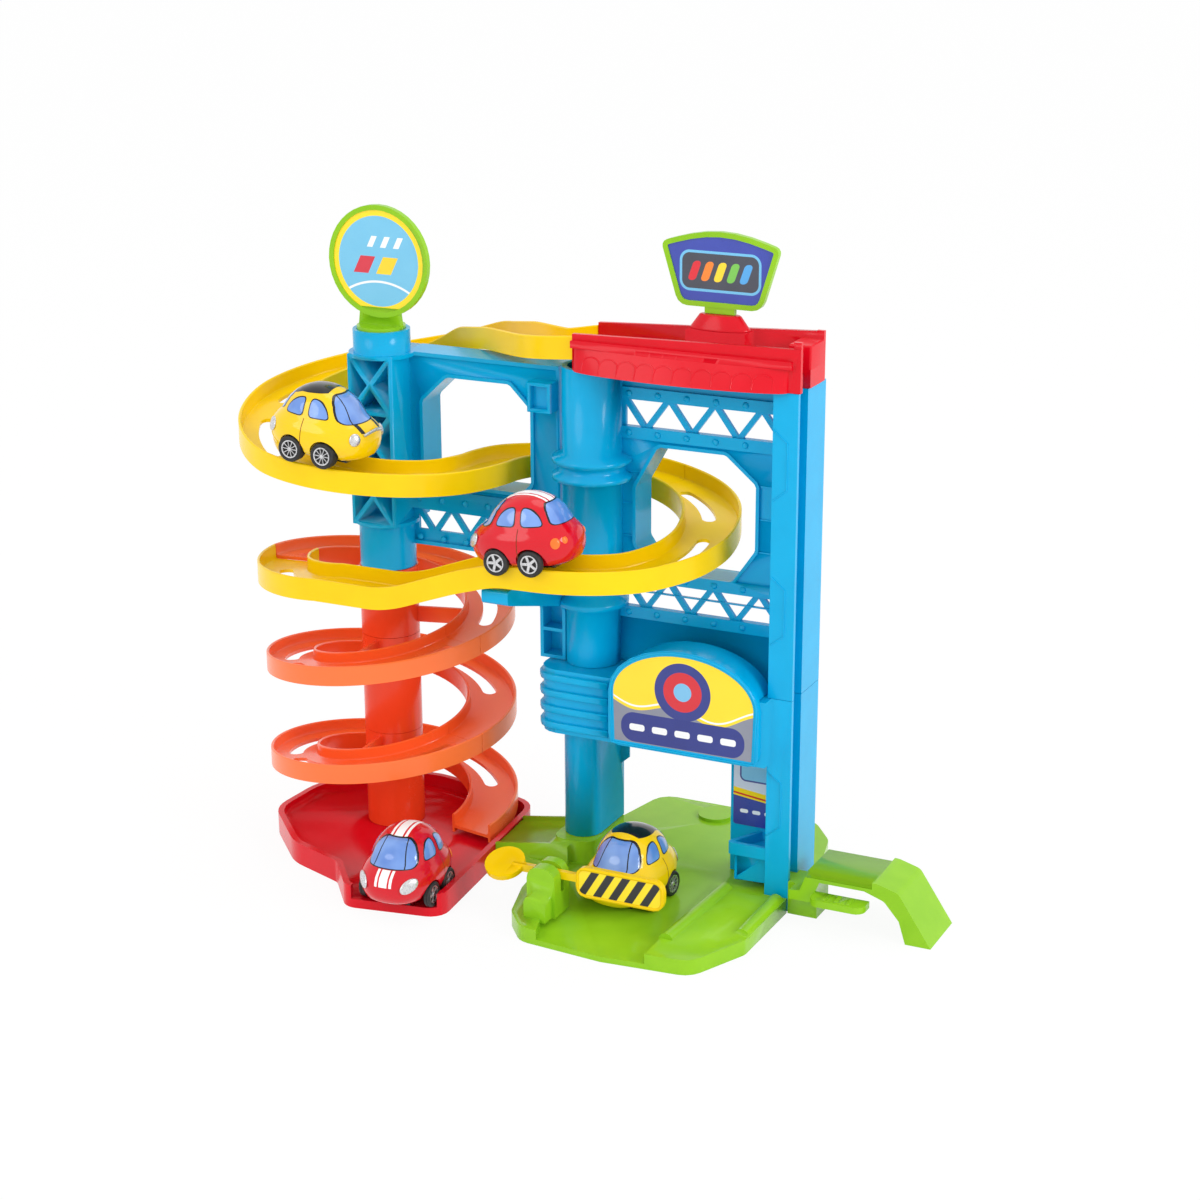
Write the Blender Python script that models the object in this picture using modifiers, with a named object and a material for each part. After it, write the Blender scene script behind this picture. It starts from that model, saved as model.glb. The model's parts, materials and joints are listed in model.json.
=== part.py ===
"""Toy parking garage: a two-column tower with a roof, a helical car ramp, a lift and four toy cars.

The floor is z = 0 and the origin lies on it under the axis of the tower's round column.
+X runs along the wall to the lift, +Y goes to the back. Lengths are metres.
"""
import math

import bmesh
import bpy
from mathutils import Matrix, Vector

MM = 0.001
TRIM = 0.3 * MM  # gap between moulded pieces that touch
SIDES = 24  # facets of a full round

# Moulding walls
SKIN = 2.2 * MM  # flanges and jambs
PANEL = 2.6 * MM  # wall panels and truss bars

# Tower
COLUMN_RADIUS = 19.0 * MM
COLUMN_FOOT_RADIUS = 17.7 * MM
COLUMN_RING_REACH = 6.5 * MM
COLUMN_RING_WIDTH = 7.0 * MM
TOWER_SEAM = 142.0 * MM
TOWER_TOP = 335.0 * MM
TOWER_FRONT = -19.0 * MM
TOWER_BACK = 28.5 * MM
WALL_FRONT = 7.0 * MM
RIM_REACH = 2.2 * MM  # how far window rims and chords stand out of the panel

# Lift post at the right of the tower
POST_LEFT = 128.4 * MM
POST_WIDTH = 16.0 * MM
POST_BACK = 26.0 * MM
SLOT_FRONT = -16.0 * MM
SLOT_WIDTH = 12.5 * MM
SLOT_DEPTH = 9.5 * MM

# Tower openings
WINDOW_LEFT = 27.5 * MM
WINDOW_RIGHT = 108.5 * MM
WINDOW_SILL = 205.0 * MM
WINDOW_HEAD = 286.0 * MM
WINDOW_CORNER = 17.0 * MM
TRUSS_HEIGHT = 32.5 * MM
UPPER_TRUSS_FOOT = 289.8 * MM
LOWER_TRUSS_FOOT = 172.6 * MM
CHORD = 7.6 * MM
TRUSS_BAR = 3.6 * MM
TRUSS_LEFT = 18.0 * MM
TRUSS_HALF_PANELS = 7

# Lower tower
BEAM_FRONT = -28.0 * MM
BEAM_FOOT = 99.0 * MM
BEAM_LEFT = -27.0 * MM
BEAM_CORNER = 13.0 * MM
BEAM_RIBS = 4
BEAM_RIB_RADIUS = 2.2 * MM
LEG_CENTRE = -4.2 * MM
LEG_HALF_WIDTH = 12.4 * MM
POST_FOOT = 1.2 * MM

# Left wing
WING_AXIS = -150.0 * MM  # axis of the left column, and of the helix
WING_TOP = 330.0 * MM
WING_WINDOW_LEFT = -124.0 * MM
WING_WINDOW_RIGHT = -46.0 * MM
WING_WINDOW_SILL = 245.0 * MM
WING_WINDOW_HEAD = 315.5 * MM
WING_CHORD_LOW = 9.5 * MM
WING_CHORD_HIGH = 14.0 * MM
WING_SILL_DROP = 5.0 * MM  # from the window down to the chord under it
WING_TRUSS_HEAD = WING_WINDOW_SILL - WING_SILL_DROP - WING_CHORD_HIGH
WING_TRUSS_RISE = 24.0 * MM
WING_FOOT = WING_TRUSS_HEAD - WING_TRUSS_RISE
WING_TRUSS_HALF_PANELS = 8
STUB_RADIUS = 18.5 * MM
CUP_WALL = 2.5 * MM
CUP_TOP = 345.0 * MM
BLOCK_FOOT = 217.0 * MM
BLOCK_CELLS = 3

# Tracks
TRACK_WIDTH = 37.5 * MM
TRACK_HEIGHT = 14.5 * MM
TRACK_WALL = 1.9 * MM
TRACK_FLOOR = 2.2 * MM
CHANNEL_DEPTH = 10.0 * MM
LOOP_RADIUS = 75.0 * MM  # centre line of both loops, half the distance between the columns
EXIT_BEND = 60.0 * MM
STATION_PITCH = 15.0 * MM
TRACK_SLOT = 9.0 * MM
TRACK_SLOT_LENGTH = 52.0 * MM
TRACK_SLOT_PITCH = 74.0 * MM

# Helix
HELIX_RADIUS = 83.0 * MM
HELIX_WIDTH = 33.0 * MM
HELIX_HEIGHT = 13.0 * MM
HELIX_PITCH = 67.5 * MM
HELIX_START = 188.0  # degrees, where the yellow track hands over
HELIX_START_TOP = 193.0 * MM
HELIX_SWEEPS = (204.0, 360.0, 356.0)
HELIX_STEP = 15.0
HELIX_TUBE_RADIUS = 19.3 * MM
HELIX_TUBE_TOP = 187.0 * MM
HELIX_TUBE_LENGTH = 46.0 * MM
HELIX_SLOT = 9.5 * MM

# Roof
ROOF_LEFT = -4.0 * MM
ROOF_RIGHT = 150.0 * MM
ROOF_FOOT = 335.4 * MM
ROOF_FRONT = -19.6 * MM
ROOF_BACK = 20.5 * MM
ROOF_DECK = 346.5 * MM
ROOF_LEDGE = 358.0 * MM
ROOF_RIDGE = 362.0 * MM
ROOF_WALL = 3.0 * MM
AWNING_REACH = 12.5 * MM
AWNING_TOP = 352.0 * MM

# Signs
SIGN_PLATE = 4.0 * MM
SIGN_RIM = 3.2 * MM
SIGN_RECESS = 1.0 * MM
ROUND_SIGN_RADIUS = 36.0 * MM
ROUND_SIGN_CENTRE = 387.8 * MM
ROOF_SIGN_X = 81.5 * MM
ROOF_SIGN_Y = 10.0 * MM
ROOF_SIGN_FOOT = 376.0 * MM
ROOF_SIGN_TOP = 414.0 * MM
ENTRANCE_SIGN_LEFT = 25.8 * MM
ENTRANCE_SIGN_RIGHT = 128.0 * MM
ENTRANCE_SIGN_FOOT = 100.0 * MM
ENTRANCE_SIGN_SHOULDER = 136.0 * MM
ENTRANCE_SIGN_TOP = 168.5 * MM
ENTRANCE_SIGN_FRAME = 8.0 * MM

# Base
DECK = 10.0 * MM
DRIVE_LEFT = 22.0 * MM
DRIVE_RIGHT = 92.0 * MM
BOSS_TOP = 25.0 * MM

# Lift
LIFT_CENTRE = SLOT_FRONT + SLOT_WIDTH / 2
LIFT_WIDTH = 42.0 * MM
LIFT_TOP = 37.0 * MM

# Cars
CAR_LENGTH = 75.0 * MM
CAR_WIDTH = 48.0 * MM
CAR_HEIGHT = 43.0 * MM
WHEEL_RADIUS = 8.2 * MM
WHEEL_WIDTHS = {"yellow": 7.2 * MM, "red": 4.2 * MM}  # wide wheels run on the rims, narrow ones straddle them
WHEEL_OUTER = 24.8 * MM  # from the car's middle to the outside of a wheel
WHEELBASE = 23.0 * MM
AXLE_RADIUS = 1.2 * MM

# Details of the tower
SIDING_REACH = 0.8 * MM
SIDINGS = (190.0 * MM, 226.0 * MM, 247.0 * MM, 268.0 * MM, 329.0 * MM)
COLUMN_RINGS = (261.5 * MM, 272.5 * MM)
COLLAR_RADIUS = 23.0 * MM
COLLAR_TOP = 187.0 * MM
COLLAR_HEIGHT = 8.0 * MM
BRACKET_LEFT = -33.0 * MM
BRACKET_RIGHT = -15.0 * MM
BRACKET_FRONT = -10.0 * MM
BRACKET_BACK = WALL_FRONT - RIM_REACH - 2 * TRIM
BRACKET_TOP = 211.0 * MM
BRACKET_TIP = -88.0 * MM
BEAM_RIB_END = 24.0 * MM
TAB_FOOT = 62.0 * MM
TAB_RIGHT = 14.0 * MM
BOOTH_LEFT = 94.0 * MM
COUNTER_TIP = 101.0 * MM
COUNTER_FOOT = 33.0 * MM
COUNTER_TOP = 41.0 * MM
COUNTER_RIM = 3.0 * MM
RIDGE_REACH = 5.0 * MM
SILL_CORNER = 7.0 * MM
BLOCK_HALF_WIDTH = 16.0 * MM
BLOCK_FRONT = -17.0 * MM
BLOCK_MIDDLE = 6.0 * MM
BRACE = 1.8 * MM
FLANGE_RADIUS = 21.5 * MM
STUB_FOOT = 187.3 * MM
CLIP_LEFT = -43.0 * MM
CLIP_FRONT = -5.0 * MM
CLIP_FOOT = 302.0 * MM
CLIP_HEIGHT = 19.0 * MM

# Details of the roof and signs
ROOF_END = 9.0 * MM
ROOF_SLOPE = 4.0 * MM
AWNING_LEFT = -3.0 * MM
AWNING_RIGHT = 138.0 * MM
AWNING_FACETS = 16
AWNING_FULLNESS = 0.45
AWNING_TAPER = 0.35
SOCKET_RADIUS = 19.5 * MM
SOCKET_DEPTH = 17.0 * MM
SOCKET_FOOT = 363.0 * MM
SOCKET_TOP = 372.0 * MM
ROOF_SIGN_WIDTH = 77.5 * MM
ROOF_SIGN_ARCH = 8.0 * MM
PRINT = 0.8 * MM

# Details of the base, tray and barrier
ISLAND_LEFT = -15.0 * MM
BASE_FRONT = -132.0 * MM
BASE_BACK = 103.0 * MM
BASE_RIGHT = 144.0 * MM
ARM_LEFT = -80.0 * MM
ARM_BACK = 18.0 * MM
ARM_FRONT = -31.5 * MM
DRIVE_RISE = 6.5 * MM
BOSS_MARGIN = 2.0 * MM
BACK_BOSS = (51.0 * MM, 84.0 * MM)
BACK_BOSS_RADIUS = 12.0 * MM
BOLLARD_LEFT = 3.6 * MM
BOLLARD_RIGHT = 23.0 * MM
BOLLARD_FRONT = -104.0 * MM
BOLLARD_BACK = -84.0 * MM
BOLLARD_TOP = 40.0 * MM
BOLLARD_STEP = 24.0 * MM
BARRIER_X = 13.0 * MM
BARRIER_Y = -93.0 * MM
BARRIER_Z = 33.5 * MM
BARRIER_THICK = 3.6 * MM
BARRIER_SWEEP = 11.0 * MM
BAR_HEIGHT = 5.0 * MM
PIN_RADIUS = 1.8 * MM
BOARD_LEFT = 33.0 * MM
BOARD_RIGHT = 93.0 * MM
BOARD_DROP = 12.0 * MM
BOARD_RISE = 8.5 * MM
PADDLE_X = -17.0 * MM
PADDLE_RADIUS = 13.0 * MM
PADDLE_TILT = 24.0
TRAY_DECK = 6.0 * MM
TRAY_RIM = 15.0 * MM
TRAY_WALL = 4.0 * MM
TRAY_BACK_RIGHT = (-64.0 * MM, 42.0 * MM)
TRAY_BACK_LEFT = (-165.0 * MM, 66.0 * MM)
LANE_LEFT_BACK = (-137.0 * MM, -100.0 * MM)
LANE_LEFT_FRONT = (-113.0 * MM, -130.0 * MM)
LANE_RIGHT_FRONT = (-49.0 * MM, -119.0 * MM)

# Details of the lift
LIFT_LEFT = 144.7 * MM
LIFT_BROW = 207.0 * MM
LIFT_TOE = 243.0 * MM
LIFT_SHOULDER = 5.0 * MM
LIFT_NECK = 25.0 * MM
LUG_WIDTH = 20.0 * MM
RAIL_REACH = 1.2 * MM
TAB_CENTRE = 184.0 * MM
TAB_HALF = 18.0 * MM
TAB_REACH = 11.0 * MM
TAB_LEVEL = 19.0 * MM

# Details of the tracks; heights are (degrees round a loop, millimetres at the rim)
TRACK_SEAM = 75.0
TRACK_SLOT_START = 14.0 * MM
SLOT_OFFSET = 1.5 * MM
BEND_END_HEIGHT = 350.5 * MM
RUN_MIDDLE_HEIGHT = 346.5 * MM
FULL_TURN = 360.0
LEFT_LOOP_HEIGHTS = ((61, 338.0), (86, 324.5), (104, 318.0), (136, 309.0), (158, 304.0), (180, 299.0),
                     (205, 291.0), (243, 280.0), (306, 272.5), (330, 270.0), (350, 269.0))
RIGHT_LOOP_HEIGHTS = ((180, 268.0), (158, 266.5), (120, 260.0), (67, 251.0), (22, 244.0), (0, 237.0),
                      (-20, 233.0), (-45, 230.0), (-90, 230.0))
STRAIGHT_HEIGHTS = ((-22, 229.4), (-48, 221.7), (-70, 213.7), (-90, 206.2), (-105, 203.0), (-150, 203.0))
HELIX_SLOT_LENGTH = 60.0 * MM
HELIX_SLOT_PITCH = 72.0 * MM
HELIX_SLOT_START = 8.0 * MM
WEB_PLACES = {"helix_top": (0.35, 0.85), "helix_middle": (0.2, 0.7), "helix_bottom": (0.2, 0.7)}

# Details of the cars
HULL_FOOT = 5.0 * MM
HULL_TOP = 25.0 * MM
DOME_LENGTH = 61.0 * MM
DOME_WIDTH = 46.0 * MM
DOME_SHIFT = -2.0 * MM
DOME_SKIN = 2.2 * MM
DOME_CROWN = (0.72, 0.78)  # how far the roof is drawn in, lengthways and across
CABIN_LIFT = 13.0 * MM
WINDOW_TOP = 38.0 * MM
PILLAR_WIDTH = 2.0 * MM
ARCH_GAP = 1.2 * MM
CHASSIS_LENGTH = 46.0 * MM
CHASSIS_WIDTH = 26.0 * MM
CHASSIS_FOOT = 3.6 * MM
CHASSIS_TOP = 10.6 * MM
WHEEL_SIDES = 12
WHEEL_DISH = 0.8 * MM
# Each car's colour, its floor point in millimetres, then its course and nose-down pitch in degrees
CARS = {
    "yellow_car": ("yellow", -149.7, -73.7, 277.7, 0.2, 5.6), "red_car": ("red", -5.0, -75.0, 225.4, 180.0, 5.0),
    "racing_car": ("red", -80.5, -107.0, 6.3, -86.0, 0.0), "striped_car": ("yellow", 51.0, -51.5, 7.8, -94.0, 2.8),
}

COLOURS = {
    "blue": (0.010, 0.420, 0.850), "yellow": (1.000, 0.780, 0.005), "orange": (0.930, 0.130, 0.020),
    "red": (0.780, 0.004, 0.020), "green": (0.330, 0.680, 0.020), "glass": (0.140, 0.270, 0.620),
    "black": (0.012, 0.012, 0.012), "steel": (0.600, 0.600, 0.600), "navy": (0.012, 0.030, 0.300),
}


# Objects and materials
def clear_scene():
    for obj in list(bpy.data.objects):
        bpy.data.objects.remove(obj, do_unlink=True)


def collection_named(name):
    found = bpy.data.collections.new(name)
    bpy.context.scene.collection.children.link(found)
    return found


def plastic(colour, roughness=0.22, metallic=0.0):
    material = bpy.data.materials.get(colour)
    if material is None:
        material = bpy.data.materials.new(colour)
        material.use_nodes = True
        shader = material.node_tree.nodes["Principled BSDF"]
        shader.inputs["Base Color"].default_value = (*COLOURS[colour], 1)
        shader.inputs["Roughness"].default_value = roughness
        shader.inputs["Metallic"].default_value = metallic
    return material


def new_object(name, mesh):
    obj = bpy.data.objects.new(name, mesh)
    PARTS.objects.link(obj)
    return obj


def as_mesh(obj, weld=0.0):
    """Replaces an object by the mesh that it evaluates to, at its own place."""
    bpy.context.view_layer.update()
    graph = bpy.context.evaluated_depsgraph_get()
    mesh = bpy.data.meshes.new_from_object(obj.evaluated_get(graph))
    if weld:
        shape = bmesh.new()
        shape.from_mesh(mesh)
        bmesh.ops.remove_doubles(shape, verts=shape.verts, dist=weld)
        bmesh.ops.recalc_face_normals(shape, faces=shape.faces)
        shape.to_mesh(mesh)
        shape.free()
    made = new_object("shape", mesh)
    made.matrix_world = obj.matrix_world
    bpy.data.objects.remove(obj, do_unlink=True)
    return made


def is_closed(obj):
    shape = bmesh.new()
    shape.from_mesh(obj.data)
    whole = len(shape.faces) > 0 and all(edge.is_manifold for edge in shape.edges)
    shape.free()
    return whole


def combined(target, others, operation):
    """The target with each of the others joined to it or cut out of it.

    A step whose faces lie too nearly in one plane for the exact solver is made with the manifold one.
    """
    for other in others:
        before = target.data.copy()
        place = target.matrix_world.copy()
        for solver in ("EXACT", "MANIFOLD"):
            step = target.modifiers.new("step", "BOOLEAN")
            step.operation = operation
            step.solver = solver
            step.object = other
            target = as_mesh(target)
            if is_closed(target):
                break
            if solver == "EXACT":
                target.data = before
                target.matrix_world = place
        bpy.data.objects.remove(other, do_unlink=True)
    return target


def unite(target, *others):
    return combined(target, others, "UNION")


def cut(target, *others):
    return combined(target, others, "DIFFERENCE")


def finished(obj, name, colour, origin=(0, 0, 0), roughness=0.22, metallic=0.0, angle=38.0):
    """Names a part, gives it its material and puts its origin where it turns or stands."""
    obj.name = name
    obj.data.name = name
    obj.data.transform(obj.matrix_world)
    obj.matrix_world = Matrix.Identity(4)
    obj.data.transform(Matrix.Translation(-Vector(origin)))
    obj.location = origin
    obj.data.materials.clear()
    obj.data.materials.append(plastic(colour, roughness, metallic))
    obj.data.shade_smooth()
    obj.data.set_sharp_from_angle(angle=math.radians(angle))
    return obj


# Outlines
def outline(corners, radius=0.0, steps=3):
    """A closed outline with rounded corners. A corner's third value is its own radius."""
    points = []
    for index, corner in enumerate(corners):
        here = Vector(corner[:2])
        size = corner[2] if len(corner) > 2 else radius
        back = Vector(corners[index - 1][:2]) - here
        ahead = Vector(corners[(index + 1) % len(corners)][:2]) - here
        turn = back.angle(ahead)
        if size <= 0 or turn > math.radians(176):
            points.append(tuple(here))
            continue
        reach = min(size / math.tan(turn / 2), 0.48 * back.length, 0.48 * ahead.length)
        middle = (back.normalized() + ahead.normalized()).normalized()
        centre = here + middle * (reach / math.cos(turn / 2))
        first = here + back.normalized() * reach - centre
        last = here + ahead.normalized() * reach - centre
        start = math.atan2(first.y, first.x)
        sweep = (math.atan2(last.y, last.x) - start + math.pi) % (2 * math.pi) - math.pi
        for step in range(steps + 1):
            angle = start + sweep * step / steps
            points.append((centre.x + first.length * math.cos(angle),
                           centre.y + first.length * math.sin(angle)))
    return points


def grown(points, distance):
    """A convex or gently bent outline moved outwards by a distance, or inwards by a negative one."""
    area = sum(a[0] * b[1] - b[0] * a[1] for a, b in zip(points, points[1:] + points[:1]))
    sign = 1 if area > 0 else -1
    moved = []
    for index, point in enumerate(points):
        here = Vector(point)
        back = (here - Vector(points[index - 1])).normalized()
        ahead = (Vector(points[(index + 1) % len(points)]) - here).normalized()
        first = Vector((back.y, -back.x)) * sign
        second = Vector((ahead.y, -ahead.x)) * sign
        bisector = (first + second).normalized()
        moved.append(tuple(here + bisector * (distance / max(bisector.dot(first), 0.25))))
    return moved


def circle(x, y, radius, sides=SIDES):
    turns = [2 * math.pi * step / sides for step in range(sides)]
    return [(x + radius * math.cos(turn), y + radius * math.sin(turn)) for turn in turns]


# Shapes
LYING = Matrix.Identity(3)  # outline in X and Y, thickness along Z
UPRIGHT = Matrix(((1, 0, 0), (0, 0, -1), (0, 1, 0)))  # outline in X and Z, thickness along Y
SIDEWAYS = Matrix(((0, 0, 1), (1, 0, 0), (0, 1, 0)))  # outline in Y and Z, thickness along X


def plate(points, low, high, holes=(), pose=LYING):
    """A flat plate of the given outline, between two levels on its thickness axis."""
    curve = bpy.data.curves.new("plate", "CURVE")
    curve.dimensions = "2D"
    curve.fill_mode = "BOTH"
    curve.extrude = (high - low) / 2
    for loop in (points, *holes):
        spline = curve.splines.new("POLY")
        spline.points.add(len(loop) - 1)
        for place, (u, v) in zip(spline.points, loop):
            place.co = (u, v, 0, 1)
        spline.use_cyclic_u = True
    obj = new_object("plate", curve)
    axis = pose @ Vector((0, 0, 1))
    middle = (low + high) / 2 * sum(axis)
    obj.matrix_world = Matrix.Translation(axis * middle) @ pose.to_4x4()
    return as_mesh(obj, weld=1e-6)


def box(x0, x1, y0, y1, z0, z1):
    shape = bmesh.new()
    bmesh.ops.create_cube(shape, size=1.0)
    bmesh.ops.scale(shape, vec=(x1 - x0, y1 - y0, z1 - z0), verts=shape.verts)
    bmesh.ops.translate(shape, vec=((x0 + x1) / 2, (y0 + y1) / 2, (z0 + z1) / 2), verts=shape.verts)
    mesh = bpy.data.meshes.new("box")
    shape.to_mesh(mesh)
    shape.free()
    return new_object("box", mesh)


def cylinder(centre, radius, length, pose=LYING, sides=SIDES, top=None):
    """A cylinder, or a cone where a top radius is given, about the pose's thickness axis."""
    shape = bmesh.new()
    bmesh.ops.create_cone(shape, cap_ends=True, segments=sides, radius1=radius,
                          radius2=radius if top is None else top, depth=length)
    mesh = bpy.data.meshes.new("cylinder")
    shape.to_mesh(mesh)
    shape.free()
    obj = new_object("cylinder", mesh)
    obj.matrix_world = Matrix.Translation(centre) @ pose.to_4x4()
    return obj


def turned(profile, x=0.0, y=0.0, sides=SIDES, closed=True):
    """A profile of (radius, height), turned about a vertical axis; an open one starts and ends on the axis."""
    mesh = bpy.data.meshes.new("profile")
    count = len(profile)
    mesh.from_pydata([(radius, 0, height) for radius, height in profile],
                     [(index, (index + 1) % count) for index in range(count if closed else count - 1)], [])
    obj = new_object("profile", mesh)
    obj.location = (x, y, 0)
    screw = obj.modifiers.new("turn", "SCREW")
    screw.steps = sides
    screw.render_steps = sides
    screw.use_merge_vertices = True
    screw.merge_threshold = 1e-6
    return as_mesh(obj, weld=1e-6)


def swept(section, frames):
    """A loft of one section through frames of (centre, sideways, width ratio, top height)."""
    shape = bmesh.new()
    rings = []
    for centre, aside, ratio, top in frames:
        rings.append([shape.verts.new((centre.x + aside.x * u * ratio, centre.y + aside.y * u * ratio, top + v))
                      for u, v in section])
    for here, there in zip(rings, rings[1:]):
        for index in range(len(section)):
            after = (index + 1) % len(section)
            shape.faces.new((here[index], here[after], there[after], there[index]))
    shape.faces.new(rings[0][::-1])
    shape.faces.new(rings[-1])
    bmesh.ops.recalc_face_normals(shape, faces=shape.faces)
    mesh = bpy.data.meshes.new("sweep")
    shape.to_mesh(mesh)
    shape.free()
    return new_object("sweep", mesh)


def rounded_edges(obj, width, segments=2, angle=40.0):
    bevel = obj.modifiers.new("round", "BEVEL")
    bevel.width = width
    bevel.segments = segments
    bevel.limit_method = "ANGLE"
    bevel.angle_limit = math.radians(angle)
    bevel.use_clamp_overlap = True
    return as_mesh(obj)


# Car tracks
def channel_section(width, height, wall=TRACK_WALL, depth=CHANNEL_DEPTH):
    """An open channel whose floor hangs between two skirts; the rims are at height 0."""
    half = width / 2
    inner = half - wall
    floor = -depth - TRACK_FLOOR
    return [(-half, 0), (-half, -height), (-inner, -height), (-inner, floor), (inner, floor),
            (inner, -height), (half, -height), (half, 0), (inner, 0), (inner, -depth), (-inner, -depth),
            (-inner, 0)]


def heading(angle):
    return Vector((math.cos(angle), math.sin(angle)))


def arc_stations(centre, radius, start, sweep, step=13.0):
    """Points and sideways directions round an arc, in degrees; sideways points away from the centre."""
    count = max(1, round(abs(sweep) / step))
    for index in range(count + 1):
        angle = math.radians(start + sweep * index / count)
        yield Vector(centre) + heading(angle) * radius, heading(angle)


def line_stations(start, end, aside, pitch=STATION_PITCH):
    first, last = Vector(start), Vector(end)
    count = max(1, round((last - first).length / pitch))
    for index in range(count + 1):
        yield first.lerp(last, index / count), Vector(aside)


def joined_stations(*runs):
    """One list of stations from several runs, with the shared ones taken once."""
    stations = []
    for run in runs:
        for place, aside in run:
            if not stations or (place - stations[-1][0]).length > 1.0 * MM:
                stations.append((place, aside))
    return stations


def travelled(stations):
    total = 0.0
    lengths = [0.0]
    for (here, _), (there, _) in zip(stations, stations[1:]):
        total += (there - here).length
        lengths.append(total)
    return lengths


def height_along(knots, distance):
    """Smooth height between knots of (distance, height)."""
    if distance <= knots[0][0]:
        return knots[0][1]
    for (d0, h0), (d1, h1) in zip(knots, knots[1:]):
        if distance <= d1:
            return h0 + (h1 - h0) * (distance - d0) / (d1 - d0)
    return knots[-1][1]


def slot_cutters(frames, lengths, width, height, offset, run, pitch, start, end):
    """Prisms that open long slots along the track's floor."""
    cutters = []
    place = start
    section = [(offset - width / 2, 1.0 * MM), (offset - width / 2, -height - 2.0 * MM),
               (offset + width / 2, -height - 2.0 * MM), (offset + width / 2, 1.0 * MM)]
    while place + run <= end:
        chosen = [blend_frames(frames, lengths, place)]
        chosen += [frame for frame, length in zip(frames, lengths)
                   if place + 2.0 * MM < length < place + run - 2.0 * MM]
        chosen.append(blend_frames(frames, lengths, place + run))
        cutters.append(swept(section, chosen))
        place += pitch
    return cutters


def blend_frames(frames, lengths, distance):
    """The frame at a distance along the track."""
    for index in range(len(frames) - 1):
        if distance <= lengths[index + 1]:
            share = (distance - lengths[index]) / (lengths[index + 1] - lengths[index])
            share = min(max(share, 0.0), 1.0)
            first, second = frames[index], frames[index + 1]
            return (first[0].lerp(second[0], share), first[1].lerp(second[1], share).normalized(),
                    first[2] + (second[2] - first[2]) * share, first[3] + (second[3] - first[3]) * share)
    return frames[-1]


# Tower
def truss_openings(left, right, foot, head, bays):
    """The triangles between a truss's zigzag bars, with the half triangles at its ends."""
    pitch = (right - left) / bays
    low, high = foot - TRUSS_BAR / 2, head + TRUSS_BAR / 2
    joints = [(left + pitch * index, low if index % 2 else high) for index in range(bays + 1)]
    triangles = [list(three) for three in zip(joints, joints[1:], joints[2:])]
    triangles.append([joints[0], joints[1], (left, low)])
    triangles.append([joints[-1], joints[-2], (right, low if joints[-1][1] == high else high)])
    return [grown(triangle, -TRUSS_BAR / 2) for triangle in triangles]


def chord(left, right, foot, height=CHORD):
    return box(left, right, WALL_FRONT - RIM_REACH, WALL_FRONT + PANEL / 2, foot, foot + height)


def window_corners(left, right, sill, head, corner, lean=0.0):
    """A window with cut corners; the right side may lean out towards its top."""
    return [(left, sill + corner), (left + corner * 0.7, sill), (right - corner * 0.9 + lean, sill),
            (right, sill + corner * 1.3), (right, head - corner), (right - corner * 1.2, head),
            (left + corner * 0.9, head), (left, head - corner * 1.6)]


def hollow_post(foot, top):
    """One length of the lift post: a slotted rail, open at the back and divided by cross webs."""
    right = POST_LEFT + POST_WIDTH
    post = box(POST_LEFT, right, TOWER_FRONT, POST_BACK, foot, top)
    slot = box(right - SLOT_DEPTH, right + SKIN, SLOT_FRONT, SLOT_FRONT + SLOT_WIDTH, foot - SKIN, top + SKIN)
    inside = box(POST_LEFT + SKIN, right - SKIN, SLOT_FRONT + SLOT_WIDTH + SKIN, POST_BACK + SKIN,
                 foot + SKIN, top - SKIN)
    return cut(post, slot, inside)


def left_bracket():
    """Shelved box at the column's left, whose top runs forward as an arm under the lower track."""
    foot = TOWER_SEAM + 2 * TRIM
    side = outline([(BRACKET_BACK, foot), (BRACKET_FRONT, foot), (BRACKET_FRONT, COLLAR_TOP - COLLAR_HEIGHT, 6.0 * MM),
                    (BRACKET_TIP, BRACKET_TOP - 4 * SKIN, 3.0 * MM), (BRACKET_TIP, BRACKET_TOP, 2.0 * MM),
                    (BRACKET_BACK, BRACKET_TOP)][::-1], steps=3)
    body = plate(side, BRACKET_LEFT, BRACKET_RIGHT, pose=SIDEWAYS)
    pitch = (COLLAR_TOP - COLLAR_HEIGHT - foot) / 2
    shelves = [box(BRACKET_LEFT + SKIN, BRACKET_RIGHT - SKIN, BRACKET_FRONT - SKIN, BRACKET_BACK - SKIN,
                   foot + SKIN + pitch * index, foot + pitch * (index + 1)) for index in range(2)]
    return cut(body, *shelves)


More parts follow.
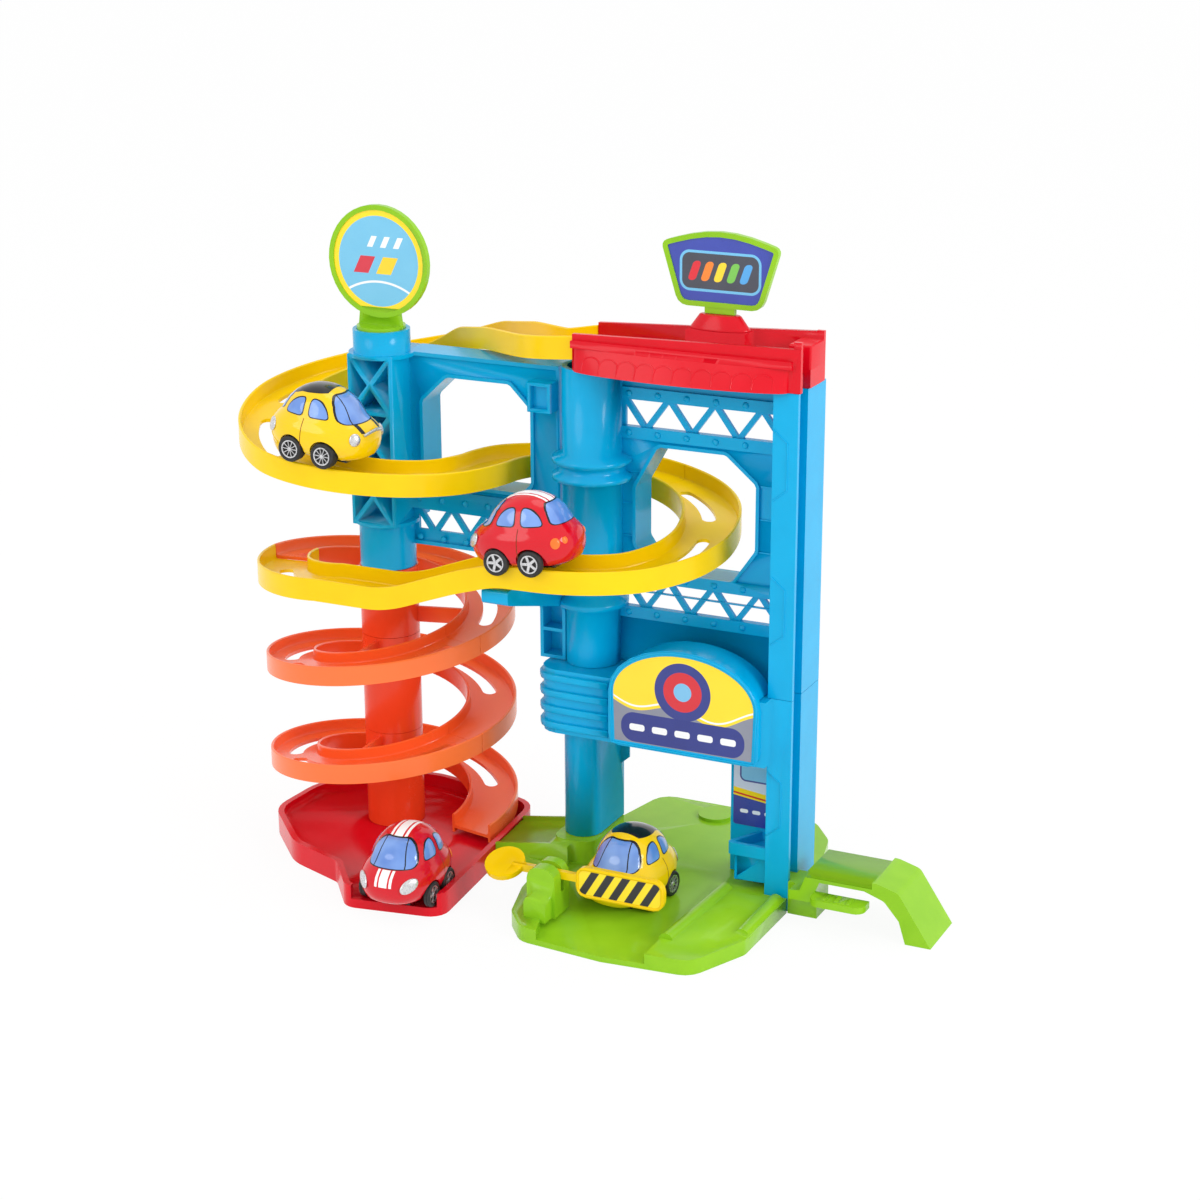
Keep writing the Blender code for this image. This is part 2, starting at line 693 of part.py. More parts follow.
def upper_tower():
    """Column, panelled wall with a window and two trusses, and the upper length of the lift post."""
    right = POST_LEFT + SKIN
    window = outline(window_corners(WINDOW_LEFT, WINDOW_RIGHT, WINDOW_SILL, WINDOW_HEAD, WINDOW_CORNER),
                     3.0 * MM, 1)
    holes = [grown(window, SKIN / 2)]
    for foot in (UPPER_TRUSS_FOOT, LOWER_TRUSS_FOOT):
        holes += truss_openings(TRUSS_LEFT, POST_LEFT - SKIN, foot + CHORD, foot + TRUSS_HEIGHT - CHORD,
                                TRUSS_HALF_PANELS)
    foot = TOWER_SEAM + TRIM
    wall = plate([(0, foot), (right, foot), (right, TOWER_TOP), (0, TOWER_TOP)],
                 WALL_FRONT, WALL_FRONT + PANEL, holes, UPRIGHT)
    rim = plate(grown(window, SKIN), WALL_FRONT - RIM_REACH, TOWER_BACK, [window], UPRIGHT)
    column = turned([
        (COLUMN_RADIUS, TOWER_TOP), (COLUMN_RADIUS, COLUMN_RINGS[1] + COLUMN_RING_WIDTH + TRIM),
        (COLUMN_RADIUS + COLUMN_RING_REACH, COLUMN_RINGS[1] + COLUMN_RING_WIDTH * 0.7),
        (COLUMN_RADIUS + COLUMN_RING_REACH, COLUMN_RINGS[1] + COLUMN_RING_WIDTH * 0.3),
        (COLUMN_RADIUS + SKIN, COLUMN_RINGS[1]), (COLUMN_RADIUS + SKIN, COLUMN_RINGS[0] + COLUMN_RING_WIDTH),
        (COLUMN_RADIUS + COLUMN_RING_REACH, COLUMN_RINGS[0] + COLUMN_RING_WIDTH * 0.7),
        (COLUMN_RADIUS + COLUMN_RING_REACH, COLUMN_RINGS[0] + COLUMN_RING_WIDTH * 0.3),
        (COLUMN_RADIUS, COLUMN_RINGS[0]), (COLUMN_RADIUS, COLLAR_TOP), (COLLAR_RADIUS, COLLAR_TOP - SKIN),
        (COLLAR_RADIUS, COLLAR_TOP - COLLAR_HEIGHT + SKIN), (COLUMN_FOOT_RADIUS, COLLAR_TOP - COLLAR_HEIGHT),
        (COLUMN_FOOT_RADIUS, foot), (COLUMN_FOOT_RADIUS - SKIN, foot), (COLUMN_FOOT_RADIUS - SKIN, TOWER_TOP)])
    flanges = [box(COLUMN_FOOT_RADIUS - SKIN / 2, right, WALL_FRONT + PANEL / 2, TOWER_BACK, foot, foot + SKIN),
               box(COLUMN_FOOT_RADIUS - SKIN / 2, right, WALL_FRONT - RIM_REACH, TOWER_BACK,
                   TOWER_TOP - SKIN, TOWER_TOP - TRIM)]
    chords = []
    for low in (UPPER_TRUSS_FOOT, UPPER_TRUSS_FOOT + TRUSS_HEIGHT - CHORD,
                LOWER_TRUSS_FOOT, LOWER_TRUSS_FOOT + TRUSS_HEIGHT - CHORD):
        chords.append(chord(COLUMN_FOOT_RADIUS - SKIN / 2, right, low))
    sidings = [box(COLUMN_FOOT_RADIUS - SKIN / 2, right, WALL_FRONT - SIDING_REACH, WALL_FRONT + PANEL / 2,
                   height, height + SIDING_REACH) for height in SIDINGS]
    opening = plate(window, WALL_FRONT - SKIN, WALL_FRONT + PANEL, pose=UPRIGHT)
    bands = cut(unite(sidings[0], *sidings[1:]), opening)
    inside = cylinder((0, 0, (foot + TOWER_TOP) / 2), COLUMN_FOOT_RADIUS - SKIN, TOWER_TOP - foot + SKIN)
    tower = unite(wall, rim, *flanges, *chords, bands, column)
    tower = cut(tower, inside)
    tower = unite(tower, hollow_post(foot, TOWER_TOP), left_bracket())
    return finished(tower, "upper_tower", "blue")


def lower_tower():
    """Beam over the entrance, the U-shaped leg, the booth wall with its counter, and the lower post."""
    top = TOWER_SEAM
    right = POST_LEFT + SKIN
    shape = outline([(BEAM_LEFT, BEAM_FRONT, BEAM_CORNER), (right, BEAM_FRONT), (right, POST_BACK),
                     (BEAM_LEFT, POST_BACK, 2 * SKIN)], steps=4)
    beam = plate(shape, BEAM_FOOT, top)
    inner = plate(grown(shape, -SKIN), BEAM_FOOT + SKIN, top - SKIN)
    window = box(BEAM_LEFT + 3 * SKIN, POST_LEFT - 3 * SKIN, 0, POST_BACK + SKIN, BEAM_FOOT + 3 * SKIN, top - 3 * SKIN)
    beam = cut(beam, inner, window)
    ribs = []
    pitch = (top - BEAM_FOOT) / BEAM_RIBS
    rib_shape = grown(shape, BEAM_RIB_RADIUS)
    for index in range(BEAM_RIBS):
        centre = BEAM_FOOT + pitch * (index + 0.5)
        rib = plate(rib_shape, centre - BEAM_RIB_RADIUS, centre + BEAM_RIB_RADIUS)
        rib = rounded_edges(rib, BEAM_RIB_RADIUS * 0.7, 1)
        keep = box(BEAM_LEFT - SKIN * 2, BEAM_RIB_END, BEAM_FRONT - SKIN * 2, POST_BACK - SKIN,
                   centre - SKIN * 2, centre + SKIN * 2)
        rib = combined(rib, [keep], "INTERSECT")
        rib = cut(rib, plate(grown(shape, -SKIN / 2), centre - SKIN * 2, centre + SKIN * 2))
        ribs.append(rib)
    leg_shape = [(LEG_CENTRE - LEG_HALF_WIDTH, TOWER_BACK)]
    for step in range(9):
        angle = math.pi + math.pi * step / 8
        leg_shape.append((LEG_CENTRE + LEG_HALF_WIDTH * math.cos(angle),
                          TOWER_FRONT + LEG_HALF_WIDTH + LEG_HALF_WIDTH * math.sin(angle)))
    leg_shape.append((LEG_CENTRE + LEG_HALF_WIDTH, TOWER_BACK))
    leg = plate(leg_shape, BOSS_TOP + TRIM, BEAM_FOOT + SKIN / 2)
    hollow = box(LEG_CENTRE - LEG_HALF_WIDTH + SKIN, LEG_CENTRE + LEG_HALF_WIDTH - SKIN,
                 TOWER_FRONT + LEG_HALF_WIDTH, TOWER_BACK + SKIN, BOSS_TOP + 2 * SKIN, BEAM_FOOT - 2 * SKIN)
    leg = cut(leg, hollow)
    tab = plate([(LEG_CENTRE + LEG_HALF_WIDTH - SKIN / 2, TAB_FOOT), (TAB_RIGHT, TAB_FOOT + 6.0 * MM),
                 (TAB_RIGHT, BEAM_FOOT + SKIN / 2), (LEG_CENTRE + LEG_HALF_WIDTH - SKIN / 2, BEAM_FOOT + SKIN / 2)],
                POST_BACK - SKIN, POST_BACK - TRIM, pose=UPRIGHT)
    booth = box(BOOTH_LEFT, right, WALL_FRONT, WALL_FRONT + PANEL, DECK + TRIM, BEAM_FOOT + SKIN / 2)
    side = box(BOOTH_LEFT, BOOTH_LEFT + SKIN, WALL_FRONT + PANEL / 2, POST_BACK - TRIM, DECK + TRIM,
               BEAM_FOOT + SKIN / 2)
    tray = outline([(COUNTER_TIP, TOWER_FRONT + TRIM, 2.5 * MM), (right, TOWER_FRONT + TRIM),
                    (right, WALL_FRONT + PANEL / 2), (COUNTER_TIP + 14.0 * MM, WALL_FRONT + PANEL / 2)])
    counter = plate(tray, COUNTER_FOOT, COUNTER_TOP)
    pocket = plate(grown(tray, -COUNTER_RIM), COUNTER_FOOT + SKIN, COUNTER_TOP + SKIN)
    skirt = plate(grown(tray, -COUNTER_RIM - SKIN / 2), DECK + RIDGE_REACH + TRIM, COUNTER_FOOT + SKIN / 2)
    counter = unite(cut(counter, pocket), skirt)
    post = hollow_post(POST_FOOT, top)
    tower = unite(beam, *ribs, leg, tab, booth, side, counter, post)
    return finished(tower, "lower_tower", "blue")


def left_wing():
    """Wall with a window and a truss, a braced block, and the left column's stub and cup."""
    left = WING_AXIS + BLOCK_HALF_WIDTH - SKIN
    right = -(COLUMN_RADIUS + COLUMN_RING_REACH) - TRIM
    window = outline([(WING_WINDOW_LEFT, WING_WINDOW_SILL + SILL_CORNER),
                      (WING_WINDOW_LEFT + SILL_CORNER, WING_WINDOW_SILL),
                      (WING_WINDOW_RIGHT - SILL_CORNER, WING_WINDOW_SILL),
                      (WING_WINDOW_RIGHT, WING_WINDOW_SILL + SILL_CORNER),
                      (WING_WINDOW_RIGHT, WING_WINDOW_HEAD - 15.0 * MM),
                      (WING_WINDOW_RIGHT - 15.0 * MM, WING_WINDOW_HEAD),
                      (WING_WINDOW_LEFT + 18.0 * MM, WING_WINDOW_HEAD),
                      (WING_WINDOW_LEFT, WING_WINDOW_HEAD - 17.0 * MM)], 3.0 * MM, 1)
    low = WING_FOOT + WING_CHORD_LOW
    high = WING_TRUSS_HEAD
    holes = [grown(window, SKIN / 2)] + truss_openings(left + 2 * SKIN, right - SKIN, low, high,
                                                       WING_TRUSS_HALF_PANELS)
    wall = plate([(left, WING_FOOT), (right, WING_FOOT), (right, WING_TOP), (left, WING_TOP)],
                 WALL_FRONT, WALL_FRONT + PANEL, holes, UPRIGHT)
    rim = plate(grown(window, SKIN), WALL_FRONT - RIM_REACH, TOWER_BACK, [window], UPRIGHT)
    flanges = [box(left, right, WALL_FRONT - RIM_REACH, TOWER_BACK, WING_TOP - SKIN, WING_TOP + TRIM),
               box(left, right, WALL_FRONT - RIM_REACH, TOWER_BACK, WING_FOOT - TRIM, WING_FOOT + SKIN),
               box(right - SKIN, right + TRIM / 2, WALL_FRONT - RIM_REACH / 2, TOWER_BACK - TRIM, WING_FOOT, WING_TOP)]
    bars = [box(left, right, WALL_FRONT - RIM_REACH, WALL_FRONT + PANEL / 2, high, high + WING_CHORD_HIGH)]
    clip = box(CLIP_LEFT, right - SKIN / 2, CLIP_FRONT, WALL_FRONT + PANEL / 2, CLIP_FOOT, CLIP_FOOT + CLIP_HEIGHT)
    clip = cut(clip, box(CLIP_LEFT + SKIN, right - SKIN / 2 - SKIN, CLIP_FRONT - SKIN, CLIP_FRONT + SKIN * 2,
                         CLIP_FOOT + SKIN, CLIP_FOOT + CLIP_HEIGHT - SKIN))
    wing = unite(wall, rim, *flanges, *bars, clip)
    x0, x1 = WING_AXIS - BLOCK_HALF_WIDTH, WING_AXIS + BLOCK_HALF_WIDTH
    block = box(x0, x1, BLOCK_FRONT, TOWER_BACK, BLOCK_FOOT, WING_TOP)
    cells = []
    cell = (WING_TOP - BLOCK_FOOT - SKIN) / BLOCK_CELLS
    for index in range(BLOCK_CELLS):
        foot = BLOCK_FOOT + SKIN + cell * index
        for mirror in (0, 1):
            depth = (BLOCK_FRONT - SKIN, BLOCK_MIDDLE - SKIN / 2) if mirror == 0 else \
                (BLOCK_MIDDLE + SKIN / 2, TOWER_BACK + SKIN)
            if mirror == 1:
                cells.append(box(x0 + SKIN, x1 - SKIN, *depth, foot, foot + cell - SKIN))
                continue
            cells += braced_cell(x0 + SKIN, x1 - SKIN, foot, foot + cell - SKIN, *depth)
    block = cut(block, *cells)
    plates = [cylinder((WING_AXIS, 0, BLOCK_FOOT + SKIN / 2), FLANGE_RADIUS, SKIN),
              cylinder((WING_AXIS, 0, WING_TOP - SKIN / 2 + TRIM / 2), FLANGE_RADIUS, SKIN + TRIM)]
    stub = turned([(STUB_RADIUS, BLOCK_FOOT + SKIN / 2), (STUB_RADIUS, STUB_FOOT),
                   (STUB_RADIUS - CUP_WALL, STUB_FOOT), (STUB_RADIUS - CUP_WALL, BLOCK_FOOT + SKIN / 2)], WING_AXIS)
    cup = turned([(STUB_RADIUS, CUP_TOP), (STUB_RADIUS, WING_TOP - SKIN / 2),
                  (STUB_RADIUS - CUP_WALL, WING_TOP - SKIN / 2), (STUB_RADIUS - CUP_WALL, CUP_TOP)], WING_AXIS)
    wing = unite(wing, block, *plates, stub, cup)
    return finished(wing, "left_wing", "blue")


def braced_cell(left, right, foot, top, front, back):
    """Four prisms that leave a crossed pair of braces in a cell."""
    middle = ((left + right) / 2, (foot + top) / 2)
    corners = [(left, foot), (right, foot), (right, top), (left, top)]
    prisms = []
    for first, second in zip(corners, corners[1:] + corners[:1]):
        prisms.append(plate(brace_triangle(first, second, middle), front, back, pose=UPRIGHT))
    return prisms


def brace_triangle(first, second, middle):
    """The quarter of a cell between two braces, flush with the cell's own side."""
    base = Vector(second) - Vector(first)
    outward = Vector((base.y, -base.x)).normalized() * (BRACE / 2)
    loose = [tuple(Vector(first) + outward), tuple(Vector(second) + outward),
             tuple(Vector(middle) + outward)]
    return grown(loose, -BRACE / 2)


# Roof and signs
def tapered(obj, level, about, share):
    """Draws the points above a level towards a line along X, so that the top is shallower than the foot."""
    for vertex in obj.data.vertices:
        if (obj.matrix_world @ vertex.co).z > level:
            place = obj.matrix_world @ vertex.co
            place.y = about + (place.y - about) * share
            vertex.co = obj.matrix_world.inverted() @ place
    return obj


def awning():
    """Bowed canopy along the roof's front, shallower at its top."""
    bow = []
    for step in range(AWNING_FACETS + 1):
        share = step / AWNING_FACETS
        reach = AWNING_REACH * math.sin(math.pi * share) ** AWNING_FULLNESS
        bow.append((AWNING_LEFT + (AWNING_RIGHT - AWNING_LEFT) * share, ROOF_FRONT - reach))
    back = ROOF_FRONT + ROOF_WALL / 2
    canopy = plate(bow + [(AWNING_RIGHT, back), (AWNING_LEFT, back)], ROOF_FOOT, AWNING_TOP)
    return tapered(canopy, ROOF_FOOT + SKIN, back, AWNING_TAPER)


def roof():
    """Channel between a front ledge and a back ridge, with an end block over the lift post."""
    right = ROOF_RIGHT - ROOF_END
    deck = box(ROOF_LEFT, ROOF_RIGHT, ROOF_FRONT, ROOF_BACK, ROOF_FOOT, ROOF_DECK)
    deck = cut(deck, box(ROOF_LEFT + ROOF_WALL, right, ROOF_FRONT + ROOF_WALL, ROOF_BACK - ROOF_WALL,
                         ROOF_FOOT - SKIN, ROOF_DECK - SKIN))
    ledge = plate([(ROOF_LEFT, ROOF_FOOT + TRIM), (ROOF_RIGHT, ROOF_FOOT + TRIM),
                   (ROOF_RIGHT, ROOF_LEDGE + ROOF_SLOPE), (ROOF_LEFT, ROOF_LEDGE)],
                  ROOF_FRONT, ROOF_FRONT + ROOF_WALL, pose=UPRIGHT)
    ridge = plate([(ROOF_LEFT, ROOF_FOOT + TRIM), (ROOF_RIGHT, ROOF_FOOT + TRIM),
                   (ROOF_RIGHT, ROOF_RIDGE + ROOF_SLOPE), (ROOF_LEFT, ROOF_RIDGE - ROOF_SLOPE)],
                  ROOF_BACK - ROOF_WALL, ROOF_BACK, pose=UPRIGHT)
    end = box(right, ROOF_RIGHT, ROOF_FRONT + TRIM, ROOF_BACK - TRIM, ROOF_FOOT + TRIM, ROOF_RIDGE + ROOF_SLOPE)
    pedestal = box(ROOF_SIGN_X - SOCKET_RADIUS, ROOF_SIGN_X + SOCKET_RADIUS, ROOF_SIGN_Y - SOCKET_DEPTH / 2,
                   ROOF_BACK - TRIM, ROOF_DECK - SKIN / 2, SOCKET_FOOT - TRIM)
    lip = box(ROOF_LEFT, right, ROOF_FRONT - ROOF_WALL, ROOF_FRONT + TRIM, AWNING_TOP - SKIN, AWNING_TOP + SKIN)
    body = unite(deck, ledge, ridge, end, pedestal, lip, awning())
    notch = box(ROOF_RIGHT - SLOT_DEPTH, ROOF_RIGHT + SKIN, SLOT_FRONT, SLOT_FRONT + SLOT_WIDTH,
                ROOF_FOOT - SKIN, ROOF_RIDGE + 2 * ROOF_SLOPE)
    doorway = box(right - SKIN, ROOF_RIGHT + SKIN, ROOF_FRONT + ROOF_WALL, ROOF_BACK - ROOF_WALL,
                  ROOF_DECK, ROOF_RIDGE + 2 * ROOF_SLOPE)
    return finished(cut(body, notch, doorway), "roof", "red")


def sign_socket():
    """Flattened cone on the roof that holds the sign's stem."""
    cone = cylinder((ROOF_SIGN_X, ROOF_SIGN_Y, (SOCKET_FOOT + SOCKET_TOP) / 2), SOCKET_RADIUS,
                    SOCKET_TOP - SOCKET_FOOT, sides=24, top=SOCKET_RADIUS * 0.66)
    for vertex in cone.data.vertices:
        vertex.co.y *= SOCKET_DEPTH / 2 / SOCKET_RADIUS
    return finished(cone, "sign_socket", "red")


def roof_sign():
    """Fan-shaped board with a raised rim, on a short stem."""
    half_foot, half_top = ROOF_SIGN_WIDTH * 0.35, ROOF_SIGN_WIDTH / 2
    arch = []
    for step in range(9):
        share = step / 8
        arch.append((ROOF_SIGN_X + half_top - 2 * half_top * share,
                     ROOF_SIGN_TOP + ROOF_SIGN_ARCH * math.sin(math.pi * share)))
    board = outline([(ROOF_SIGN_X - half_foot, ROOF_SIGN_FOOT, 8.0 * MM),
                     (ROOF_SIGN_X + half_foot, ROOF_SIGN_FOOT, 8.0 * MM), (arch[0][0], arch[0][1], 4.0 * MM)]
                    + arch[1:-1] + [(arch[-1][0], arch[-1][1], 4.0 * MM)], steps=3)
    front, back = ROOF_SIGN_Y - SIGN_PLATE / 2, ROOF_SIGN_Y + SIGN_PLATE / 2
    sign = plate(board, front, back, pose=UPRIGHT)
    sign = cut(sign, plate(grown(board, -SIGN_RIM), front - SKIN, front + SIGN_RECESS, pose=UPRIGHT))
    stem = box(ROOF_SIGN_X - SOCKET_RADIUS / 2, ROOF_SIGN_X + SOCKET_RADIUS / 2, front + TRIM, back - TRIM,
               SOCKET_TOP + TRIM, ROOF_SIGN_FOOT + SIGN_RIM / 2)
    return finished(unite(sign, stem), "roof_sign", "green")


def round_sign():
    """Disc with a raised rim, on a neck that plugs into the left column's cup."""
    disc = circle(WING_AXIS, ROUND_SIGN_CENTRE, ROUND_SIGN_RADIUS, 40)
    half = SIGN_PLATE / 2
    sign = plate(disc, -half, half, pose=UPRIGHT)
    sign = cut(sign, plate(circle(WING_AXIS, ROUND_SIGN_CENTRE, ROUND_SIGN_RADIUS - SIGN_RIM, 40),
                           -half - SKIN, -half + SIGN_RECESS, pose=UPRIGHT))
    plug_radius = STUB_RADIUS - CUP_WALL - TRIM
    plug = cylinder((WING_AXIS, 0, (CUP_TOP + WING_TOP + 2 * SKIN) / 2), plug_radius, CUP_TOP - WING_TOP)
    low = ROUND_SIGN_CENTRE - ROUND_SIGN_RADIUS
    neck = plate([(WING_AXIS - plug_radius, CUP_TOP), (WING_AXIS + plug_radius, CUP_TOP),
                  (WING_AXIS + plug_radius * 0.9, low + 2 * SIGN_RIM),
                  (WING_AXIS - plug_radius * 0.9, low + 2 * SIGN_RIM)], -half + TRIM, half - TRIM, pose=UPRIGHT)
    return finished(unite(sign, plug, neck), "round_sign", "green")


def entrance_sign():
    """Board with one broad arch and a wide raised frame, on the beam over the entrance."""
    left, right = ENTRANCE_SIGN_LEFT, ENTRANCE_SIGN_RIGHT
    middle, half = (left + right) / 2, (right - left) / 2
    rise = ENTRANCE_SIGN_TOP - ENTRANCE_SIGN_SHOULDER
    arch = []
    for step in range(13):
        turn = math.pi * step / 12
        arch.append((middle + half * math.cos(turn), ENTRANCE_SIGN_SHOULDER + rise * math.sin(turn)))
    board = outline([(left, ENTRANCE_SIGN_FOOT, 7.0 * MM), (right, ENTRANCE_SIGN_FOOT, 7.0 * MM)] + arch)
    back = BEAM_FRONT - TRIM
    front = back - SIGN_PLATE
    sign = plate(board, front, back, pose=UPRIGHT)
    recess = plate(grown(board, -ENTRANCE_SIGN_FRAME), front - SKIN, front + SIGN_RECESS, pose=UPRIGHT)
    return finished(cut(sign, recess), "entrance_sign", "blue")


def booth_panel():
    """Printed panel on the booth wall beside the entrance."""
    panel = outline([(BOOTH_LEFT + SKIN, COUNTER_TOP + SKIN), (POST_LEFT - TRIM, COUNTER_TOP + SKIN),
                     (POST_LEFT - TRIM, BEAM_FOOT - SKIN), (BOOTH_LEFT + SKIN, BEAM_FOOT - SKIN)], 1.5 * MM, 2)
    return finished(plate(panel, WALL_FRONT - TRIM - PRINT, WALL_FRONT - TRIM, pose=UPRIGHT), "booth_panel", "navy")


# Base, tray and barrier
def raised(start, end, radius, height):
    """A half-round ridge along a floor line."""
    first, last = Vector(start), Vector(end)
    along = (last - first).to_3d()
    turn = along.to_track_quat("Z", "Y").to_matrix()
    return cylinder(((first.x + last.x) / 2, (first.y + last.y) / 2, height), radius, along.length, turn, 12)


def base_plate():
    """Green base: deck with a sloping driveway, the leg's boss, the arm to the tray and the bollard."""
    shape = outline([(ISLAND_LEFT, -75.0 * MM), (-5.0 * MM, -109.0 * MM, 14.0 * MM), (10.0 * MM, -127.0 * MM, 14.0 * MM),
                     (67.5 * MM, BASE_FRONT), (125.0 * MM, -127.0 * MM, 14.0 * MM), (143.3 * MM, -85.7 * MM, 10.0 * MM),
                     (BASE_RIGHT, TOWER_FRONT), (BASE_RIGHT, 40.0 * MM), (135.0 * MM, 78.0 * MM, 20.0 * MM),
                     (116.0 * MM, BASE_BACK, 14.0 * MM), (26.0 * MM, BASE_BACK, 10.0 * MM), (3.0 * MM, BASE_BACK, 14.0 * MM),
                     (-6.0 * MM, 59.0 * MM, 10.0 * MM), (-14.0 * MM, ARM_BACK + 6.0 * MM, 8.0 * MM),
                     (-32.0 * MM, ARM_BACK), (ARM_LEFT, ARM_BACK), (ARM_LEFT, ARM_FRONT), (-36.0 * MM, ARM_FRONT),
                     (-20.0 * MM, ARM_FRONT - 2.0 * MM, 8.0 * MM)], steps=3)
    base = plate(shape, 0, DECK)
    drive = plate([(DRIVE_LEFT + 2.0 * MM, BASE_FRONT - SKIN), (DRIVE_RIGHT + 4.0 * MM, BASE_FRONT - SKIN),
                   (DRIVE_RIGHT, 60.0 * MM), (LEG_CENTRE + LEG_HALF_WIDTH + 4 * SKIN, 60.0 * MM),
                   (LEG_CENTRE + LEG_HALF_WIDTH + 4 * SKIN, TOWER_FRONT), (-9.0 * MM, -32.0 * MM)], 0, DECK * 3)
    slope = math.atan2(DRIVE_RISE, -BASE_FRONT)
    drive.matrix_world = Matrix.Translation((0, BASE_FRONT, DECK - DRIVE_RISE)) @ Matrix.Rotation(slope, 4, "X") \
        @ Matrix.Translation((0, -BASE_FRONT, 0)) @ drive.matrix_world
    boss = plate(outline([(LEG_CENTRE - LEG_HALF_WIDTH - BOSS_MARGIN, ARM_FRONT + 6.0 * MM),
                          (LEG_CENTRE + LEG_HALF_WIDTH + BOSS_MARGIN, ARM_FRONT + 6.0 * MM),
                          (LEG_CENTRE + LEG_HALF_WIDTH + BOSS_MARGIN, TOWER_BACK + BOSS_MARGIN),
                          (LEG_CENTRE - LEG_HALF_WIDTH - BOSS_MARGIN, TOWER_BACK + BOSS_MARGIN)], 8.0 * MM),
                 DECK - SKIN, BOSS_TOP)
    arm = plate([(LEG_CENTRE, DECK - SKIN), (LEG_CENTRE, BOSS_TOP - SKIN), (LEG_CENTRE - LEG_HALF_WIDTH, BOSS_TOP - SKIN),
                 (ARM_LEFT, DECK + SKIN), (ARM_LEFT, DECK - SKIN)], ARM_FRONT, ARM_BACK, pose=UPRIGHT)
    pocket = plate([(LEG_CENTRE - LEG_HALF_WIDTH - SKIN, BOSS_TOP + SKIN), (LEG_CENTRE - LEG_HALF_WIDTH - SKIN, BOSS_TOP - 2.2 * SKIN),
                    (ARM_LEFT - SKIN, DECK), (ARM_LEFT - SKIN, BOSS_TOP + SKIN)],
                   ARM_FRONT + SKIN, ARM_BACK - SKIN, pose=UPRIGHT)
    base = unite(cut(base, drive), cut(arm, pocket), boss)
    base = unite(base, cylinder((BACK_BOSS[0], BACK_BOSS[1], DECK), BACK_BOSS_RADIUS, 2 * SKIN),
                 raised((DRIVE_RIGHT + 7.0 * MM, -105.0 * MM), (COUNTER_TIP + SKIN, TOWER_FRONT - SKIN), RIDGE_REACH,
                        DECK - SKIN / 2),
                 raised((BASE_RIGHT - 2.5 * SKIN, -80.0 * MM), (BASE_RIGHT - 2.5 * SKIN, TOWER_FRONT - 2 * SKIN),
                        RIDGE_REACH, DECK - SKIN / 2))
    tower = plate(outline([(BOLLARD_LEFT, DECK - SKIN), (BOLLARD_RIGHT, DECK - SKIN), (BOLLARD_RIGHT, BOLLARD_TOP, 8.0 * MM),
                           (BOLLARD_LEFT, BOLLARD_TOP, 8.0 * MM)], steps=4),
                  BOLLARD_FRONT, BOLLARD_BACK, pose=UPRIGHT)
    step = plate(outline([(BOLLARD_LEFT + SKIN, DECK - SKIN), (BOLLARD_RIGHT - SKIN, DECK - SKIN),
                          (BOLLARD_RIGHT - SKIN, BOLLARD_STEP, 4.0 * MM), (BOLLARD_LEFT + SKIN, BOLLARD_STEP, 4.0 * MM)], steps=2),
                 BOLLARD_FRONT - 9.0 * MM, BOLLARD_FRONT + SKIN, pose=UPRIGHT)
    slot = box(BOLLARD_LEFT - SKIN, BOLLARD_RIGHT + SKIN, BARRIER_Y - BARRIER_THICK / 2 - TRIM,
               BARRIER_Y + BARRIER_THICK / 2 + TRIM, BARRIER_Z - BARRIER_SWEEP, BOLLARD_TOP + SKIN)
    hole = cylinder((BARRIER_X, BARRIER_Y, BARRIER_Z), PIN_RADIUS + TRIM / 3, BOLLARD_BACK - BOLLARD_FRONT - 3 * SKIN, UPRIGHT, 16)
    bollard = cut(unite(tower, step), slot, hole)
    base = unite(base, bollard)
    foot = box(POST_LEFT - TRIM, BASE_RIGHT + SKIN, TOWER_FRONT - TRIM, POST_BACK + TRIM, -SKIN, 3 * DECK)
    rim = plate(grown(tray_outline(), TRIM), -SKIN, 3 * DECK)
    return finished(cut(base, foot, rim), "base_plate", "green")


def barrier():
    """Arm with a paddle at one end and a board at the other, turning on a pin through the bollard."""
    low, high = BARRIER_Y - BARRIER_THICK / 2, BARRIER_Y + BARRIER_THICK / 2
    bar = box(PADDLE_X + 6.0 * MM, BOARD_LEFT + SKIN, low, high, BARRIER_Z - BAR_HEIGHT / 2, BARRIER_Z + BAR_HEIGHT / 2)
    hub = cylinder((BARRIER_X, BARRIER_Y, BARRIER_Z), PIN_RADIUS * 2.2, BARRIER_THICK, UPRIGHT, 16)
    board = plate(outline([(BOARD_LEFT, BARRIER_Z - BOARD_DROP, 7.0 * MM), (BOARD_RIGHT, BARRIER_Z - BOARD_DROP, 7.0 * MM),
                           (BOARD_RIGHT, BARRIER_Z + BOARD_RISE, 7.0 * MM), (BOARD_LEFT, BARRIER_Z + BOARD_RISE, 7.0 * MM)], steps=3),
                  low, high, pose=UPRIGHT)
    paddle = cylinder((PADDLE_X, BARRIER_Y, BARRIER_Z), PADDLE_RADIUS, BARRIER_THICK,
                      Matrix.Rotation(math.radians(PADDLE_TILT), 3, "X"), 24)
    arm = cut(unite(bar, hub, board, paddle),
              cylinder((BARRIER_X, BARRIER_Y, BARRIER_Z), PIN_RADIUS + TRIM / 3, 2 * BARRIER_THICK, UPRIGHT, 16))
    finished(arm, "barrier_arm", "yellow", (BARRIER_X, BARRIER_Y, BARRIER_Z))
    pin = cylinder((BARRIER_X, BARRIER_Y, BARRIER_Z), PIN_RADIUS, BOLLARD_BACK - BOLLARD_FRONT - 4 * SKIN, UPRIGHT, 16)
    finished(pin, "barrier_pin", "steel", (BARRIER_X, BARRIER_Y, BARRIER_Z), 0.35, 0.9)


